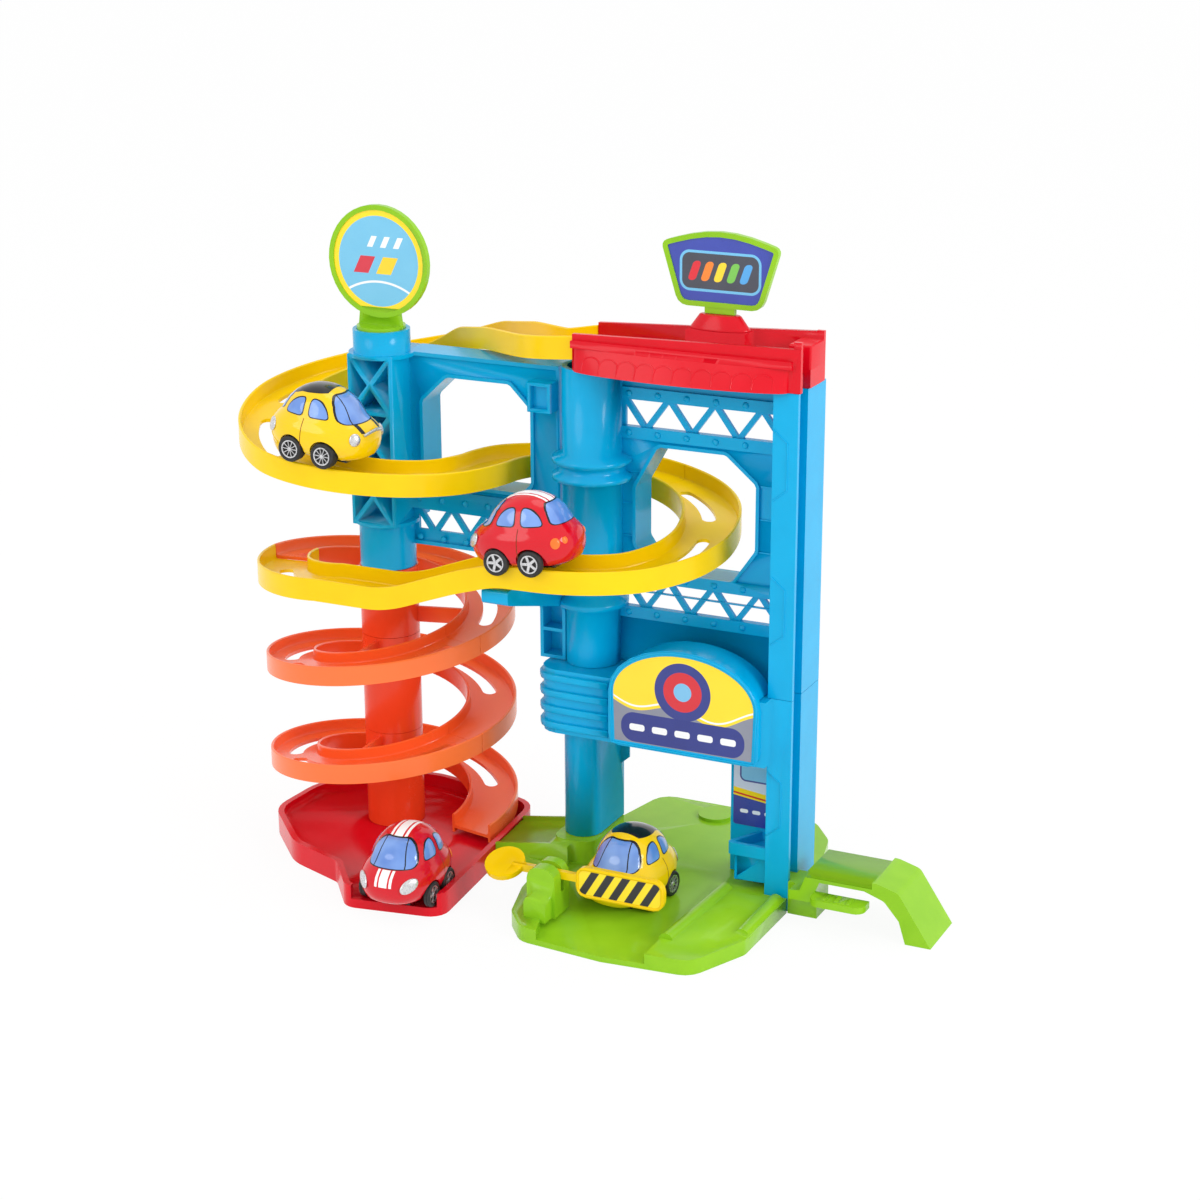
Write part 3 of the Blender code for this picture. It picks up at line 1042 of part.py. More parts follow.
def tray_outline():
    return outline([(-219.0 * MM, 13.0 * MM, 40.0 * MM), (-222.0 * MM, -40.0 * MM, 30.0 * MM), (-180.0 * MM, -84.0 * MM, 40.0 * MM),
                    (LANE_LEFT_BACK[0], LANE_LEFT_BACK[1], 10.0 * MM), (LANE_LEFT_FRONT[0], LANE_LEFT_FRONT[1], 12.0 * MM),
                    (LANE_RIGHT_FRONT[0], LANE_RIGHT_FRONT[1], 12.0 * MM), (*TRAY_BACK_RIGHT, 22.0 * MM),
                    (*TRAY_BACK_LEFT, 50.0 * MM)], steps=5)


def exit_tray():
    """Dished tray under the helix, with a lane that runs out to the front."""
    shape = tray_outline()
    tray = plate(shape, 0, TRAY_RIM)
    dish = plate(grown(shape, -TRAY_WALL), TRAY_DECK, TRAY_RIM + SKIN)
    first, last = Vector(LANE_LEFT_FRONT), Vector(LANE_RIGHT_FRONT)
    inward = (last - first).normalized() * TRAY_WALL
    ahead = Vector((inward.y, -inward.x))
    gate = plate([tuple(first + inward - ahead * 2), tuple(first + inward + ahead * 2),
                  tuple(last - inward + ahead * 2), tuple(last - inward - ahead * 2)], TRAY_DECK, TRAY_RIM + SKIN)
    return finished(cut(tray, dish, gate), "exit_tray", "red")


def lift():
    """Platform that rides in the post's slot: tongue, stepped deck, two finger tabs and an arched leg."""
    low, high = LIFT_CENTRE - LIFT_WIDTH / 2, LIFT_CENTRE + LIFT_WIDTH / 2
    profile = outline([(LIFT_LEFT + 5.0 * MM, 16.0 * MM), (LIFT_LEFT + 5.0 * MM, 22.0 * MM), (LIFT_LEFT + 12.0 * MM, 23.0 * MM),
                       (LIFT_LEFT + 17.0 * MM, LIFT_TOP), (LIFT_BROW, LIFT_TOP, 12.0 * MM), (LIFT_BROW + 14.0 * MM, LIFT_TOP - 4.0 * MM, 6.0 * MM),
                       (LIFT_TOE, 0), (LIFT_TOE - 16.5 * MM, 0), (LIFT_TOE - 21.0 * MM, 14.5 * MM), (LIFT_BROW + 5.0 * MM, 26.0 * MM, 6.0 * MM),
                       (LIFT_BROW - 8.0 * MM, LIFT_TOP - 3 * SKIN), (LIFT_LEFT + LIFT_NECK, LIFT_TOP - 3 * SKIN), (LIFT_LEFT + 19.0 * MM, 16.0 * MM)], steps=3)
    deck = plate(profile, low, high, pose=UPRIGHT)
    sides = [box(LIFT_LEFT, LIFT_BROW - 3.0 * MM, low - SKIN, low + LIFT_SHOULDER, LIFT_TOP - 2 * SKIN, LIFT_TOP + SKIN),
             box(LIFT_LEFT, LIFT_BROW - 3.0 * MM, high - LIFT_SHOULDER, high + SKIN, LIFT_TOP - 2 * SKIN, LIFT_TOP + SKIN)]
    deck = cut(deck, *sides)
    lug = box(LIFT_LEFT, LIFT_LEFT + 19.5 * MM, LIFT_CENTRE - LUG_WIDTH / 2, LIFT_CENTRE + LUG_WIDTH / 2, TRIM, 22.0 * MM)
    tongue = box(POST_LEFT + POST_WIDTH - SLOT_DEPTH + RAIL_REACH + TRIM, LIFT_LEFT + SKIN, SLOT_FRONT + TRIM,
                 SLOT_FRONT + SLOT_WIDTH - TRIM, TRIM, 22.0 * MM - TRIM)
    tabs = []
    for side, edge in ((-1, low), (1, high)):
        tab = plate(outline([(TAB_CENTRE - TAB_HALF, edge - side * SKIN), (TAB_CENTRE + TAB_HALF, edge - side * SKIN),
                             (TAB_CENTRE + TAB_HALF, edge + side * TAB_REACH, 9.0 * MM),
                             (TAB_CENTRE - TAB_HALF, edge + side * TAB_REACH, 9.0 * MM)][::side], steps=4),
                    TAB_LEVEL, TAB_LEVEL + 2 * SKIN)
        tabs.append(tab)
        for index in (-1, 0, 1):
            tabs.append(box(TAB_CENTRE + (index * 8.0 - 1.2) * MM, TAB_CENTRE + (index * 8.0 + 1.2) * MM,
                            min(edge, edge + side * (TAB_REACH - SKIN)), max(edge, edge + side * (TAB_REACH - SKIN)),
                            TAB_LEVEL + SKIN, TAB_LEVEL + 2.5 * SKIN))
    return finished(unite(deck, lug, tongue, *tabs), "lift_platform", "green")


# Yellow tracks
def with_heights(stations, knots):
    """Frames for a sweep: each station takes its rim height from knots of (station distance, height)."""
    lengths = travelled(stations)
    return [(place, aside, 1.0, height_along(knots, length))
            for (place, aside), length in zip(stations, lengths)], lengths


def slotted_track(frames, lengths, name, colour, section, height, slots):
    track = swept(section, frames)
    return finished(cut(track, *slot_cutters(frames, lengths, *slots)), name, colour)


def tracks():
    """The two yellow channels: a loop round each column, then a straight and a last bend to the helix."""
    left, right = Vector((WING_AXIS, 0)), Vector((0, 0))
    bend = Vector((ROOF_LEFT - TRIM, EXIT_BEND))
    between = left - bend
    lean = math.degrees(math.asin((LOOP_RADIUS + EXIT_BEND) / between.length))
    course = math.degrees(math.atan2(between.y, between.x)) % 360 - lean
    turn = 180.0 - course
    first = list(arc_stations(bend, EXIT_BEND, 270.0, -turn))
    first = [(place, -aside) for place, aside in first]
    joint = course - 90.0
    loop_start = left + heading(math.radians(joint)) * LOOP_RADIUS
    straight = list(line_stations(first[-1][0], loop_start, heading(math.radians(joint))))
    loop = list(arc_stations(left, LOOP_RADIUS, joint, FULL_TURN - joint))
    crossing = [(place, -aside) for place, aside in arc_stations(right, LOOP_RADIUS, 180.0, TRACK_SEAM - 180.0)]
    upper = joined_stations(first, straight, loop, crossing)
    run_in = math.radians(turn) * EXIT_BEND
    ahead = (loop_start - first[-1][0]).length
    start = run_in + ahead
    arc = math.radians(1.0) * LOOP_RADIUS
    knots = [(0, ROOF_DECK + CHANNEL_DEPTH), (run_in, BEND_END_HEIGHT), (run_in + ahead * 0.55, RUN_MIDDLE_HEIGHT)]
    knots += [(start + (angle - joint) * arc, height * MM) for angle, height in LEFT_LOOP_HEIGHTS]
    turned_by = start + (FULL_TURN - joint) * arc
    knots += [(turned_by + (180.0 - angle) * arc, height * MM) for angle, height in RIGHT_LOOP_HEIGHTS]
    frames, lengths = with_heights(upper, knots)
    section = channel_section(TRACK_WIDTH, TRACK_HEIGHT)
    slotted_track(frames, lengths, "upper_track", "yellow", section, TRACK_HEIGHT,
                  (TRACK_SLOT, TRACK_HEIGHT, SLOT_OFFSET, TRACK_SLOT_LENGTH, TRACK_SLOT_PITCH,
                   TRACK_SLOT_START, lengths[-1] - TRACK_SLOT_START))
    seam = math.degrees(TRIM / LOOP_RADIUS)
    rest = [(place, -aside) for place, aside in arc_stations(right, LOOP_RADIUS, TRACK_SEAM - seam,
                                                             -90.0 - TRACK_SEAM + seam)]
    run = list(line_stations(rest[-1][0], Vector((WING_AXIS, -LOOP_RADIUS)), (0, 1), 12.0 * MM))
    lower = joined_stations(rest, run)
    base = math.radians(TRACK_SEAM - seam + 90.0) * LOOP_RADIUS
    knots = [((TRACK_SEAM - angle) * arc, height * MM) for angle, height in RIGHT_LOOP_HEIGHTS]
    knots += [(base - x * MM, height * MM) for x, height in STRAIGHT_HEIGHTS]
    frames, lengths = with_heights(lower, knots)
    count = 9
    for index in range(1, count + 1):
        share = index / count
        angle = 270.0 + (HELIX_START + seam - 270.0) * share
        ease = share * share * (3 - 2 * share)
        ratio = 1.0 + (HELIX_WIDTH / TRACK_WIDTH - 1.0) * ease
        radius = LOOP_RADIUS + (HELIX_RADIUS - HELIX_WIDTH / 2 - LOOP_RADIUS) * ease
        place = left + heading(math.radians(angle)) * radius
        height = STRAIGHT_HEIGHTS[-1][1] * MM + (HELIX_START_TOP - STRAIGHT_HEIGHTS[-1][1] * MM) * share
        lengths.append(lengths[-1] + (place - frames[-1][0]).length)
        frames.append((place, -heading(math.radians(angle)), ratio, height))
    slotted_track(frames, lengths, "lower_track", "yellow", section, TRACK_HEIGHT,
                  (TRACK_SLOT, TRACK_HEIGHT, SLOT_OFFSET, TRACK_SLOT_LENGTH, TRACK_SLOT_PITCH,
                   TRACK_SLOT_START, lengths[-1] - TRACK_SLOT_START))


# Orange helix
def helix_piece(name, start, sweep, top, tube_foot, tube_top):
    """One length of the helix with its own length of column and the web between them."""
    middle = HELIX_RADIUS - HELIX_WIDTH / 2
    seam = math.degrees(TRIM / middle)
    count = round(sweep / HELIX_STEP)
    frames, lengths = [], []
    for index in range(count + 1):
        angle = start - (sweep - seam) * index / count
        height = top - HELIX_PITCH / FULL_TURN * (start - angle)
        frames.append((Vector((WING_AXIS, 0)) + heading(math.radians(angle)) * middle,
                       heading(math.radians(angle)), 1.0, height))
        lengths.append(math.radians(start - angle) * middle)
    ramp = swept(channel_section(HELIX_WIDTH, HELIX_HEIGHT, TRACK_WALL, CHANNEL_DEPTH - SKIN), frames)
    slots = slot_cutters(frames, lengths, HELIX_SLOT, HELIX_HEIGHT, 0.0, HELIX_SLOT_LENGTH, HELIX_SLOT_PITCH,
                         HELIX_SLOT_START, lengths[-1] - HELIX_SLOT_START)
    ramp = cut(ramp, *slots)
    tube = turned([(HELIX_TUBE_RADIUS, tube_top), (HELIX_TUBE_RADIUS, tube_foot),
                   (HELIX_TUBE_RADIUS - SKIN, tube_foot), (HELIX_TUBE_RADIUS - SKIN, tube_top)], WING_AXIS)
    webs = []
    inner = HELIX_RADIUS - HELIX_WIDTH
    for share in WEB_PLACES[name]:
        angle = start - sweep * share
        height = top - HELIX_PITCH / FULL_TURN * (start - angle)
        high = min(height - SKIN, tube_top - TRIM)
        web = box(HELIX_TUBE_RADIUS - SKIN / 2, inner + TRACK_WALL / 2, -SKIN / 2, SKIN / 2,
                  max(height - HELIX_HEIGHT + TRIM, tube_foot + TRIM), high)
        web.data.transform(Matrix.Translation((WING_AXIS, 0, 0)) @ Matrix.Rotation(math.radians(angle), 4, "Z"))
        webs.append(web)
    return finished(unite(ramp, *webs, tube), name, "orange")


def helix():
    """Three stacked lengths of ramp that wind down round the left column."""
    start, top = HELIX_START, HELIX_START_TOP
    tube_top = HELIX_TUBE_TOP
    high_foot = HELIX_TUBE_TOP - HELIX_TUBE_LENGTH
    feet = (high_foot, high_foot - HELIX_PITCH, TRAY_DECK + TRIM)
    for name, sweep, foot in zip(WEB_PLACES, HELIX_SWEEPS, feet):
        helix_piece(name, start, sweep, top, foot, tube_top)
        start -= sweep
        top -= HELIX_PITCH / FULL_TURN * sweep
        tube_top = foot - TRIM


# Cars
def soft_block(length, width, height, lift, crown, nose=0.0):
    """A rounded cage, smoothed: its top is drawn in by the crown shares and shifted by the nose."""
    shape = bmesh.new()
    bmesh.ops.create_cube(shape, size=1.0)
    bmesh.ops.subdivide_edges(shape, edges=shape.edges, cuts=1, use_grid_fill=True)
    bmesh.ops.scale(shape, vec=(length, width, height), verts=shape.verts)
    for vertex in shape.verts:
        if vertex.co.z > height * 0.25:
            vertex.co.x = vertex.co.x * crown[0] + nose
            vertex.co.y *= crown[1]
        vertex.co.z += height / 2 + lift
    mesh = bpy.data.meshes.new("soft")
    shape.to_mesh(mesh)
    shape.free()
    obj = new_object("soft", mesh)
    smooth = obj.modifiers.new("smooth", "SUBSURF")
    smooth.levels = 1
    smooth.render_levels = 1
    return as_mesh(obj)


def car_shell():
    """Body with a domed cabin, window openings, wheel arches and a recess for the chassis."""
    hull = soft_block(CAR_LENGTH, CAR_WIDTH, HULL_TOP - HULL_FOOT + 5.0 * MM, HULL_FOOT - 1.5 * MM, (0.86, 0.86))
    dome = soft_block(DOME_LENGTH, DOME_WIDTH, CAR_HEIGHT - HULL_FOOT + 4.0 * MM, HULL_FOOT + 1.0 * MM, DOME_CROWN, DOME_SHIFT)
    inner = cabin_block(TRIM)
    body = unite(hull, dome)
    low_half, high_half = DOME_LENGTH * 0.31, DOME_LENGTH * 0.18
    side = plate(outline([(DOME_SHIFT - low_half, HULL_TOP), (DOME_SHIFT + low_half, HULL_TOP),
                          (DOME_SHIFT + high_half, WINDOW_TOP, 3.0 * MM),
                          (DOME_SHIFT - high_half, WINDOW_TOP, 3.0 * MM)], 1.5 * MM, 1),
                 -CAR_WIDTH, CAR_WIDTH, pose=UPRIGHT)
    front = plate(outline([(-DOME_WIDTH * 0.30, HULL_TOP), (DOME_WIDTH * 0.30, HULL_TOP),
                           (DOME_WIDTH * 0.23, WINDOW_TOP + SKIN), (-DOME_WIDTH * 0.23, WINDOW_TOP + SKIN)], 2.5 * MM, 1),
                  DOME_SHIFT, CAR_LENGTH, pose=SIDEWAYS)
    rear = plate(outline([(-DOME_WIDTH * 0.26, HULL_TOP), (DOME_WIDTH * 0.26, HULL_TOP),
                          (DOME_WIDTH * 0.20, WINDOW_TOP), (-DOME_WIDTH * 0.20, WINDOW_TOP)], 2.5 * MM, 1),
                 -CAR_LENGTH, DOME_SHIFT, pose=SIDEWAYS)
    pillar = box(DOME_SHIFT - 1.5 * PILLAR_WIDTH, DOME_SHIFT - 0.5 * PILLAR_WIDTH, -CAR_WIDTH, CAR_WIDTH, HULL_FOOT, CAR_HEIGHT)
    side = cut(side, pillar)
    body = cut(body, inner, side, front, rear)
    arches = []
    for x in (-WHEELBASE / 2, WHEELBASE / 2):
        for y in (-1, 1):
            arches.append(cylinder((x, y * (CHASSIS_WIDTH / 2 + CAR_WIDTH / 4), WHEEL_RADIUS),
                                   WHEEL_RADIUS + ARCH_GAP, CAR_WIDTH / 2, UPRIGHT, 12))
    recess = box(-CHASSIS_LENGTH / 2 - TRIM, CHASSIS_LENGTH / 2 + TRIM, -CHASSIS_WIDTH / 2 - TRIM, CHASSIS_WIDTH / 2 + TRIM,
                 0, CHASSIS_TOP + TRIM)
    return cut(body, *arches, recess)


def cabin_block(extra=0.0):
    shell = 2 * DOME_SKIN - 2 * extra
    return soft_block(DOME_LENGTH - shell, DOME_WIDTH - shell, CAR_HEIGHT - HULL_FOOT + 4.0 * MM - CABIN_LIFT - DOME_SKIN + 2 * extra,
                      HULL_FOOT + 1.0 * MM + CABIN_LIFT - extra, DOME_CROWN, DOME_SHIFT)


def chassis():
    floor = box(-CHASSIS_LENGTH / 2, CHASSIS_LENGTH / 2, -CHASSIS_WIDTH / 2, CHASSIS_WIDTH / 2, CHASSIS_FOOT, CHASSIS_TOP)
    holes = [cylinder((x, 0, WHEEL_RADIUS), AXLE_RADIUS + TRIM, CAR_WIDTH, UPRIGHT, 12)
             for x in (-WHEELBASE / 2, WHEELBASE / 2)]
    return cut(floor, *holes)


def wheel_pair(width):
    """Two wheels of one width on one axle, turned as one profile."""
    outer, rim = WHEEL_OUTER, WHEEL_RADIUS
    inner = outer - width
    half = [(0, outer - WHEEL_DISH), (rim * 0.6, outer - WHEEL_DISH), (rim * 0.75, outer), (rim, outer - WHEEL_DISH),
            (rim, inner), (AXLE_RADIUS, inner)]
    profile = half + [(radius, -height) for radius, height in half[::-1]]
    pair = turned(profile, sides=WHEEL_SIDES, closed=False)
    pair.data.transform(UPRIGHT.to_4x4())
    return pair


def placed(shape, name, colour, place, centre=(0, 0, 0), roughness=0.22, metallic=0.0):
    """A copy of a car's shape, set where the car stands, with its origin at a point of its own."""
    obj = new_object(name, shape.data.copy())
    obj.matrix_world = place @ Matrix.Translation(centre)
    obj.data.materials.clear()
    obj.data.materials.append(plastic(colour, roughness, metallic))
    obj.data.shade_smooth()
    obj.data.set_sharp_from_angle(angle=math.radians(40.0))
    return obj


def cars():
    """Four cars of one mould, on the upper track, the lower track, the tray and the driveway."""
    shell, cabin, floor = car_shell(), cabin_block(), chassis()
    pairs = {colour: wheel_pair(width) for colour, width in WHEEL_WIDTHS.items()}
    for name, (colour, x, y, z, course, pitch) in CARS.items():
        place = Matrix.Translation((x * MM, y * MM, z * MM)) @ Matrix.Rotation(math.radians(course), 4, "Z") \
            @ Matrix.Rotation(math.radians(pitch), 4, "Y")
        placed(shell, f"{name}_body", colour, place)
        placed(cabin, f"{name}_windows", "glass", place, roughness=0.1)
        placed(floor, f"{name}_chassis", "black", place, roughness=0.5)
        for end, offset in (("front", WHEELBASE / 2), ("rear", -WHEELBASE / 2)):
            placed(pairs[colour], f"{name}_{end}_wheels", "black", place, (offset, 0, WHEEL_RADIUS), 0.5)
    for shape in (shell, cabin, floor, *pairs.values()):
        bpy.data.objects.remove(shape, do_unlink=True)


clear_scene()
PARTS = collection_named("toy_parking_garage")
upper_tower()
lower_tower()
left_wing()
roof()
sign_socket()
roof_sign()
round_sign()
entrance_sign()
booth_panel()
base_plate()
barrier()
exit_tray()
lift()
tracks()
helix()
cars()
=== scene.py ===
# %% [markdown]
# # A toy parking garage, dressed for its picture
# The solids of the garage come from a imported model: two blue towers, a red roof with a channel, a yellow
# track that loops round both columns, an orange spiral, a green base and lift, and four small cars.
# This script keeps every solid where it is and gives it the surface, the small mouldings and the printed
# parts that the real toy has.

# %% Load the solids
import json
import math

import bmesh
import bpy
from mathutils import Matrix, Vector

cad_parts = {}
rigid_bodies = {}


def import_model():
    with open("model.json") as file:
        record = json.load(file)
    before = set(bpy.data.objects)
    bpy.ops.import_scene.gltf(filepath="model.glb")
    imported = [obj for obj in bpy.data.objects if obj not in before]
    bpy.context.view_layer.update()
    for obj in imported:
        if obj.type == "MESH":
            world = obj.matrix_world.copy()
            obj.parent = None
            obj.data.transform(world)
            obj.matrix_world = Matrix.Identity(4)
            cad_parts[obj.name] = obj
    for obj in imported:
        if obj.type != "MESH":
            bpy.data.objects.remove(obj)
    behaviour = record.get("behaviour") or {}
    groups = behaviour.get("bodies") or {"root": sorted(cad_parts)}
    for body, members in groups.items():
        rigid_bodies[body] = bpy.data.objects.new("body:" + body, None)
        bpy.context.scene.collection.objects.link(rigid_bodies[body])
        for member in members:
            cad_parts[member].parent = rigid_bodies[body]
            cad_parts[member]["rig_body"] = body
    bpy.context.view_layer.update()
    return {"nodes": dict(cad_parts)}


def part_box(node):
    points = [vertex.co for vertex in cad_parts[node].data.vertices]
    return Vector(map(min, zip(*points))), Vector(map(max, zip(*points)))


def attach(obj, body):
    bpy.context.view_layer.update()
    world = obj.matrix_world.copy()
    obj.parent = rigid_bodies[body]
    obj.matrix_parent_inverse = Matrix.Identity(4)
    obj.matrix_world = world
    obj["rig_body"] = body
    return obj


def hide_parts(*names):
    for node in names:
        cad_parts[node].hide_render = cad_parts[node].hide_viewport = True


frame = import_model()
NODES = frame["nodes"]
MM = 0.001
LEFT_COLUMN = -150 * MM  # the right column stands on the origin

# %% [markdown]
# ## Camera
# The photograph was taken from the right and a little above, with a long lens. Its direction, distance and
# lens were fitted to the straight edges of the toy, so the camera is built from those numbers: three
# directions, the pixel where the origin lies, and the depth of the origin along the view.

# %% Place the camera
AZIMUTH, ELEVATION, ROLL = (math.radians(angle) for angle in (25.65, 18.99, -0.19))
IMAGE = 1200.0  # pixels across and down
FOCAL = 2554.0  # pixels
CENTRE_PIXEL = (605.4, 636.4)
ORIGIN_PIXEL = (594.5, 862.0)
ORIGIN_DEPTH = 1.687

level = Vector((math.cos(AZIMUTH), math.sin(AZIMUTH), 0))
ahead = Vector((-math.sin(AZIMUTH) * math.cos(ELEVATION), math.cos(AZIMUTH) * math.cos(ELEVATION),
                -math.sin(ELEVATION)))
aloft = level.cross(ahead)
rightward = level * math.cos(ROLL) + aloft * math.sin(ROLL)
upward = aloft * math.cos(ROLL) - level * math.sin(ROLL)
offset = ahead + rightward * ((ORIGIN_PIXEL[0] - CENTRE_PIXEL[0]) / FOCAL) \
    - upward * ((ORIGIN_PIXEL[1] - CENTRE_PIXEL[1]) / FOCAL)

lens = bpy.data.cameras.new("camera")
lens.sensor_width = 36.0
lens.lens = FOCAL / IMAGE * lens.sensor_width
lens.shift_x = (IMAGE / 2 - CENTRE_PIXEL[0]) / IMAGE
lens.shift_y = (CENTRE_PIXEL[1] - IMAGE / 2) / IMAGE
lens.clip_end = 60.0
camera = bpy.data.objects.new("camera", lens)
bpy.context.scene.collection.objects.link(camera)
facing = Matrix((rightward, upward, -ahead)).transposed().to_4x4()
camera.matrix_world = Matrix.Translation(-offset * ORIGIN_DEPTH) @ facing
bpy.context.scene.camera = camera
bpy.context.scene.view_settings.view_transform = "Standard"
print("camera at", [round(value, 3) for value in camera.matrix_world.translation], "lens",
      round(lens.lens, 1))

# %% [markdown]
# ## Writing materials as short expressions
# A plastic surface is never one flat number: its colour drifts a little, its gloss changes and it has a
# fine skin. Each of these is a small sum of noises and masks. Wiring them node by node is long, so one
# class wraps an output socket and lets plain arithmetic add the Math nodes, and a second class holds a
# material and adds any other node from its type, its settings and the values of its sockets.

# %% Shader values that do arithmetic
class Value:
    """One output socket. Arithmetic on it adds Math nodes."""

    def __init__(self, paint, socket):
        self.paint = paint
        self.socket = socket

    def math(self, operation, *values):
        return self.paint.maths(operation, self, *values)

    def __add__(self, other):
        return self.math("ADD", other)

    def __radd__(self, other):
        return self.math("ADD", other)

    def __sub__(self, other):
        return self.math("SUBTRACT", other)

    def __rsub__(self, other):
        return self.paint.maths("SUBTRACT", other, self)

    def __mul__(self, other):
        return self.math("MULTIPLY", other)

    def __rmul__(self, other):
        return self.math("MULTIPLY", other)

    def __truediv__(self, other):
        return self.math("DIVIDE", other)

    def __rtruediv__(self, other):
        return self.paint.maths("DIVIDE", other, self)

    def __pow__(self, other):
        return self.math("POWER", other)

    def __abs__(self):
        return self.math("ABSOLUTE")

    def sine(self):
        return self.math("SINE")

    def larger(self, other):
        return self.math("MAXIMUM", other)

    def both(self, other):
        """Of two masks, 1 only where both are."""
        return self.math("MINIMUM", other)

    def below(self, limit, soft=0.12):
        """1 where the value is under the limit, 0 above it, with an edge as soft as the print's."""
        ramp = self.paint.node("MapRange", {"interpolation_type": "SMOOTHSTEP"},
                               {"Value": self, "From Min": limit - soft, "From Max": limit + soft,
                                "To Min": 1.0, "To Max": 0.0})
        return Value(self.paint, ramp.outputs[0])

    def above(self, limit, soft=0.12):
        return 1 - self.below(limit, soft)

    def within(self, low, high):
        return self.above(low).both(self.below(high))


print("values ready")

# %% [markdown]
# Colours are written as a screen shows them, 0 to 255, and turned into the linear numbers that a shader
# takes. They mix through one kind of node, whose share may be any mask or noise.

# %% A material that adds its own nodes
def display(red, green, blue):
    """The linear colour of three screen numbers."""
    linear = []
    for channel in (red, green, blue):
        share = channel / 255
        linear.append(share / 12.92 if share <= 0.04045 else ((share + 0.055) / 1.055) ** 2.4)
    return (*linear, 1.0)


class Paint:
    """A material, with short words for the nodes that a surface needs."""

    def __init__(self, name):
        self.material = bpy.data.materials.new(name)
        self.material.use_nodes = True
        self.tree = self.material.node_tree
        self.shader = self.tree.nodes["Principled BSDF"]
        self.place = Value(self, self.node("TexCoord").outputs["Object"])

    def node(self, kind, settings=None, values=None):
        made = self.tree.nodes.new("ShaderNode" + kind)
        for key, setting in (settings or {}).items():
            setattr(made, key, setting)
        for key, value in (values or {}).items():
            self.feed(made.inputs[key], value)
        return made

    def feed(self, socket, value):
        if isinstance(value, Value):
            self.tree.links.new(value.socket, socket)
        else:
            socket.default_value = value

    def maths(self, operation, *values):
        made = self.node("Math", {"operation": operation}, dict(enumerate(values)))
        return Value(self, made.outputs[0])

    def noise(self, scale, detail=2.0):
        """A noise with so many bumps in a metre."""
        made = self.node("TexNoise", None, {"Vector": self.place, "Scale": scale, "Detail": detail})
        return Value(self, made.outputs[0])

    def mix(self, share, first, second):
        """The first colour where share is 0, the second where it is 1; each is a value or screen numbers."""
        colours = [colour if isinstance(colour, Value) else display(*colour) for colour in (first, second)]
        made = self.node("Mix", {"data_type": "RGBA"}, {0: share, 6: colours[0], 7: colours[1]})
        return Value(self, made.outputs[2])

    def axes(self, centre=(0, 0, 0)):
        """The three coordinates in millimetres from a centre."""
        made = self.node("Mapping", {"vector_type": "TEXTURE"},
                         {"Vector": self.place, "Location": centre, "Scale": (MM, MM, MM)})
        split = self.node("SeparateXYZ", None, {0: Value(self, made.outputs[0])})
        return [Value(self, output) for output in split.outputs]

    def finish(self, colour, roughness, height=None, depth=0.02 * MM, **constants):
        self.feed(self.shader.inputs["Base Color"], colour)
        self.feed(self.shader.inputs["Roughness"], roughness)
        for name, value in constants.items():
            self.shader.inputs[name.replace("_", " ")].default_value = value
        if height is not None:
            bump = self.node("Bump", None, {"Height": height, "Distance": depth, "Strength": 1.0})
            self.tree.links.new(bump.outputs[0], self.shader.inputs["Normal"])
        return self.material


print("white as a shader takes it:", display(255, 255, 255))

# %% [markdown]
# ## Moulded plastic
# The toy is injection moulded in a few clear colours. Up close such plastic has slow swirls where the
# pigment flowed, a faint unevenness of the steel mould that wobbles its highlights, and a fine skin that
# changes the gloss but not the colour. All three are noises at their real sizes: some centimetres, a
# centimetre and less than a millimetre.

# %% One recipe for every moulded colour
SWIRLS, CLOUDS, SKIN = 22.0, 75.0, 1500.0  # bumps in a metre


def moulded(name, low, high, rough=0.22, coat=0.1):
    """Gloss plastic whose pigment drifts between two near colours."""
    paint = Paint(name)
    cloud, skin = paint.noise(CLOUDS), paint.noise(SKIN)
    flow = (paint.noise(SWIRLS, 3.0) * 0.7 + cloud * 0.3).above(0.5, 0.22)
    gloss = rough + (skin - 0.5) * 0.06 + (cloud - 0.5) * 0.08
    return paint.finish(paint.mix(flow, low, high), gloss, cloud * 3.0 + skin * 0.15, 0.02 * MM, IOR=1.5,
                        Specular_IOR_Level=0.2, Coat_Weight=coat, Coat_Roughness=0.08)


BLUE = moulded("tower_blue", (0, 164, 216), (2, 172, 224))
RED = moulded("roof_red", (212, 6, 28), (220, 12, 34))
GREEN = moulded("base_green", (134, 190, 26), (146, 200, 34))
YELLOW = moulded("track_yellow", (240, 198, 0), (246, 206, 2))
CAR_RED = moulded("car_red", (204, 8, 28), (214, 12, 34), rough=0.14, coat=0.5)
CAR_YELLOW = moulded("car_yellow", (240, 196, 0), (246, 206, 4), rough=0.14, coat=0.5)
BLACK = moulded("gloss_black", (14, 14, 16), (26, 26, 28), rough=0.2, coat=0.6)
WHITE = moulded("print_white", (240, 240, 240), (248, 248, 248), rough=0.3)
AMBER = moulded("tail_amber", (244, 110, 40), (250, 132, 60), rough=0.15)
SHADE = moulded("joint_shade", (120, 60, 10), (104, 44, 12), rough=0.5, coat=0.0)
print("moulded colours from", BLUE.name, "to", SHADE.name)

# %% [markdown]
# The spiral is a clearer orange than the rest. Its thin rims are painted paler, a painted glow of the light
# that runs through them, and the thick tube in the middle is painted redder, as painted shade. The distance
# from the tube's axis gives both.

# %% Orange that pales towards the rims
RIM_REACH, TUBE_REACH = 66.0, 30.0  # millimetres from the axis


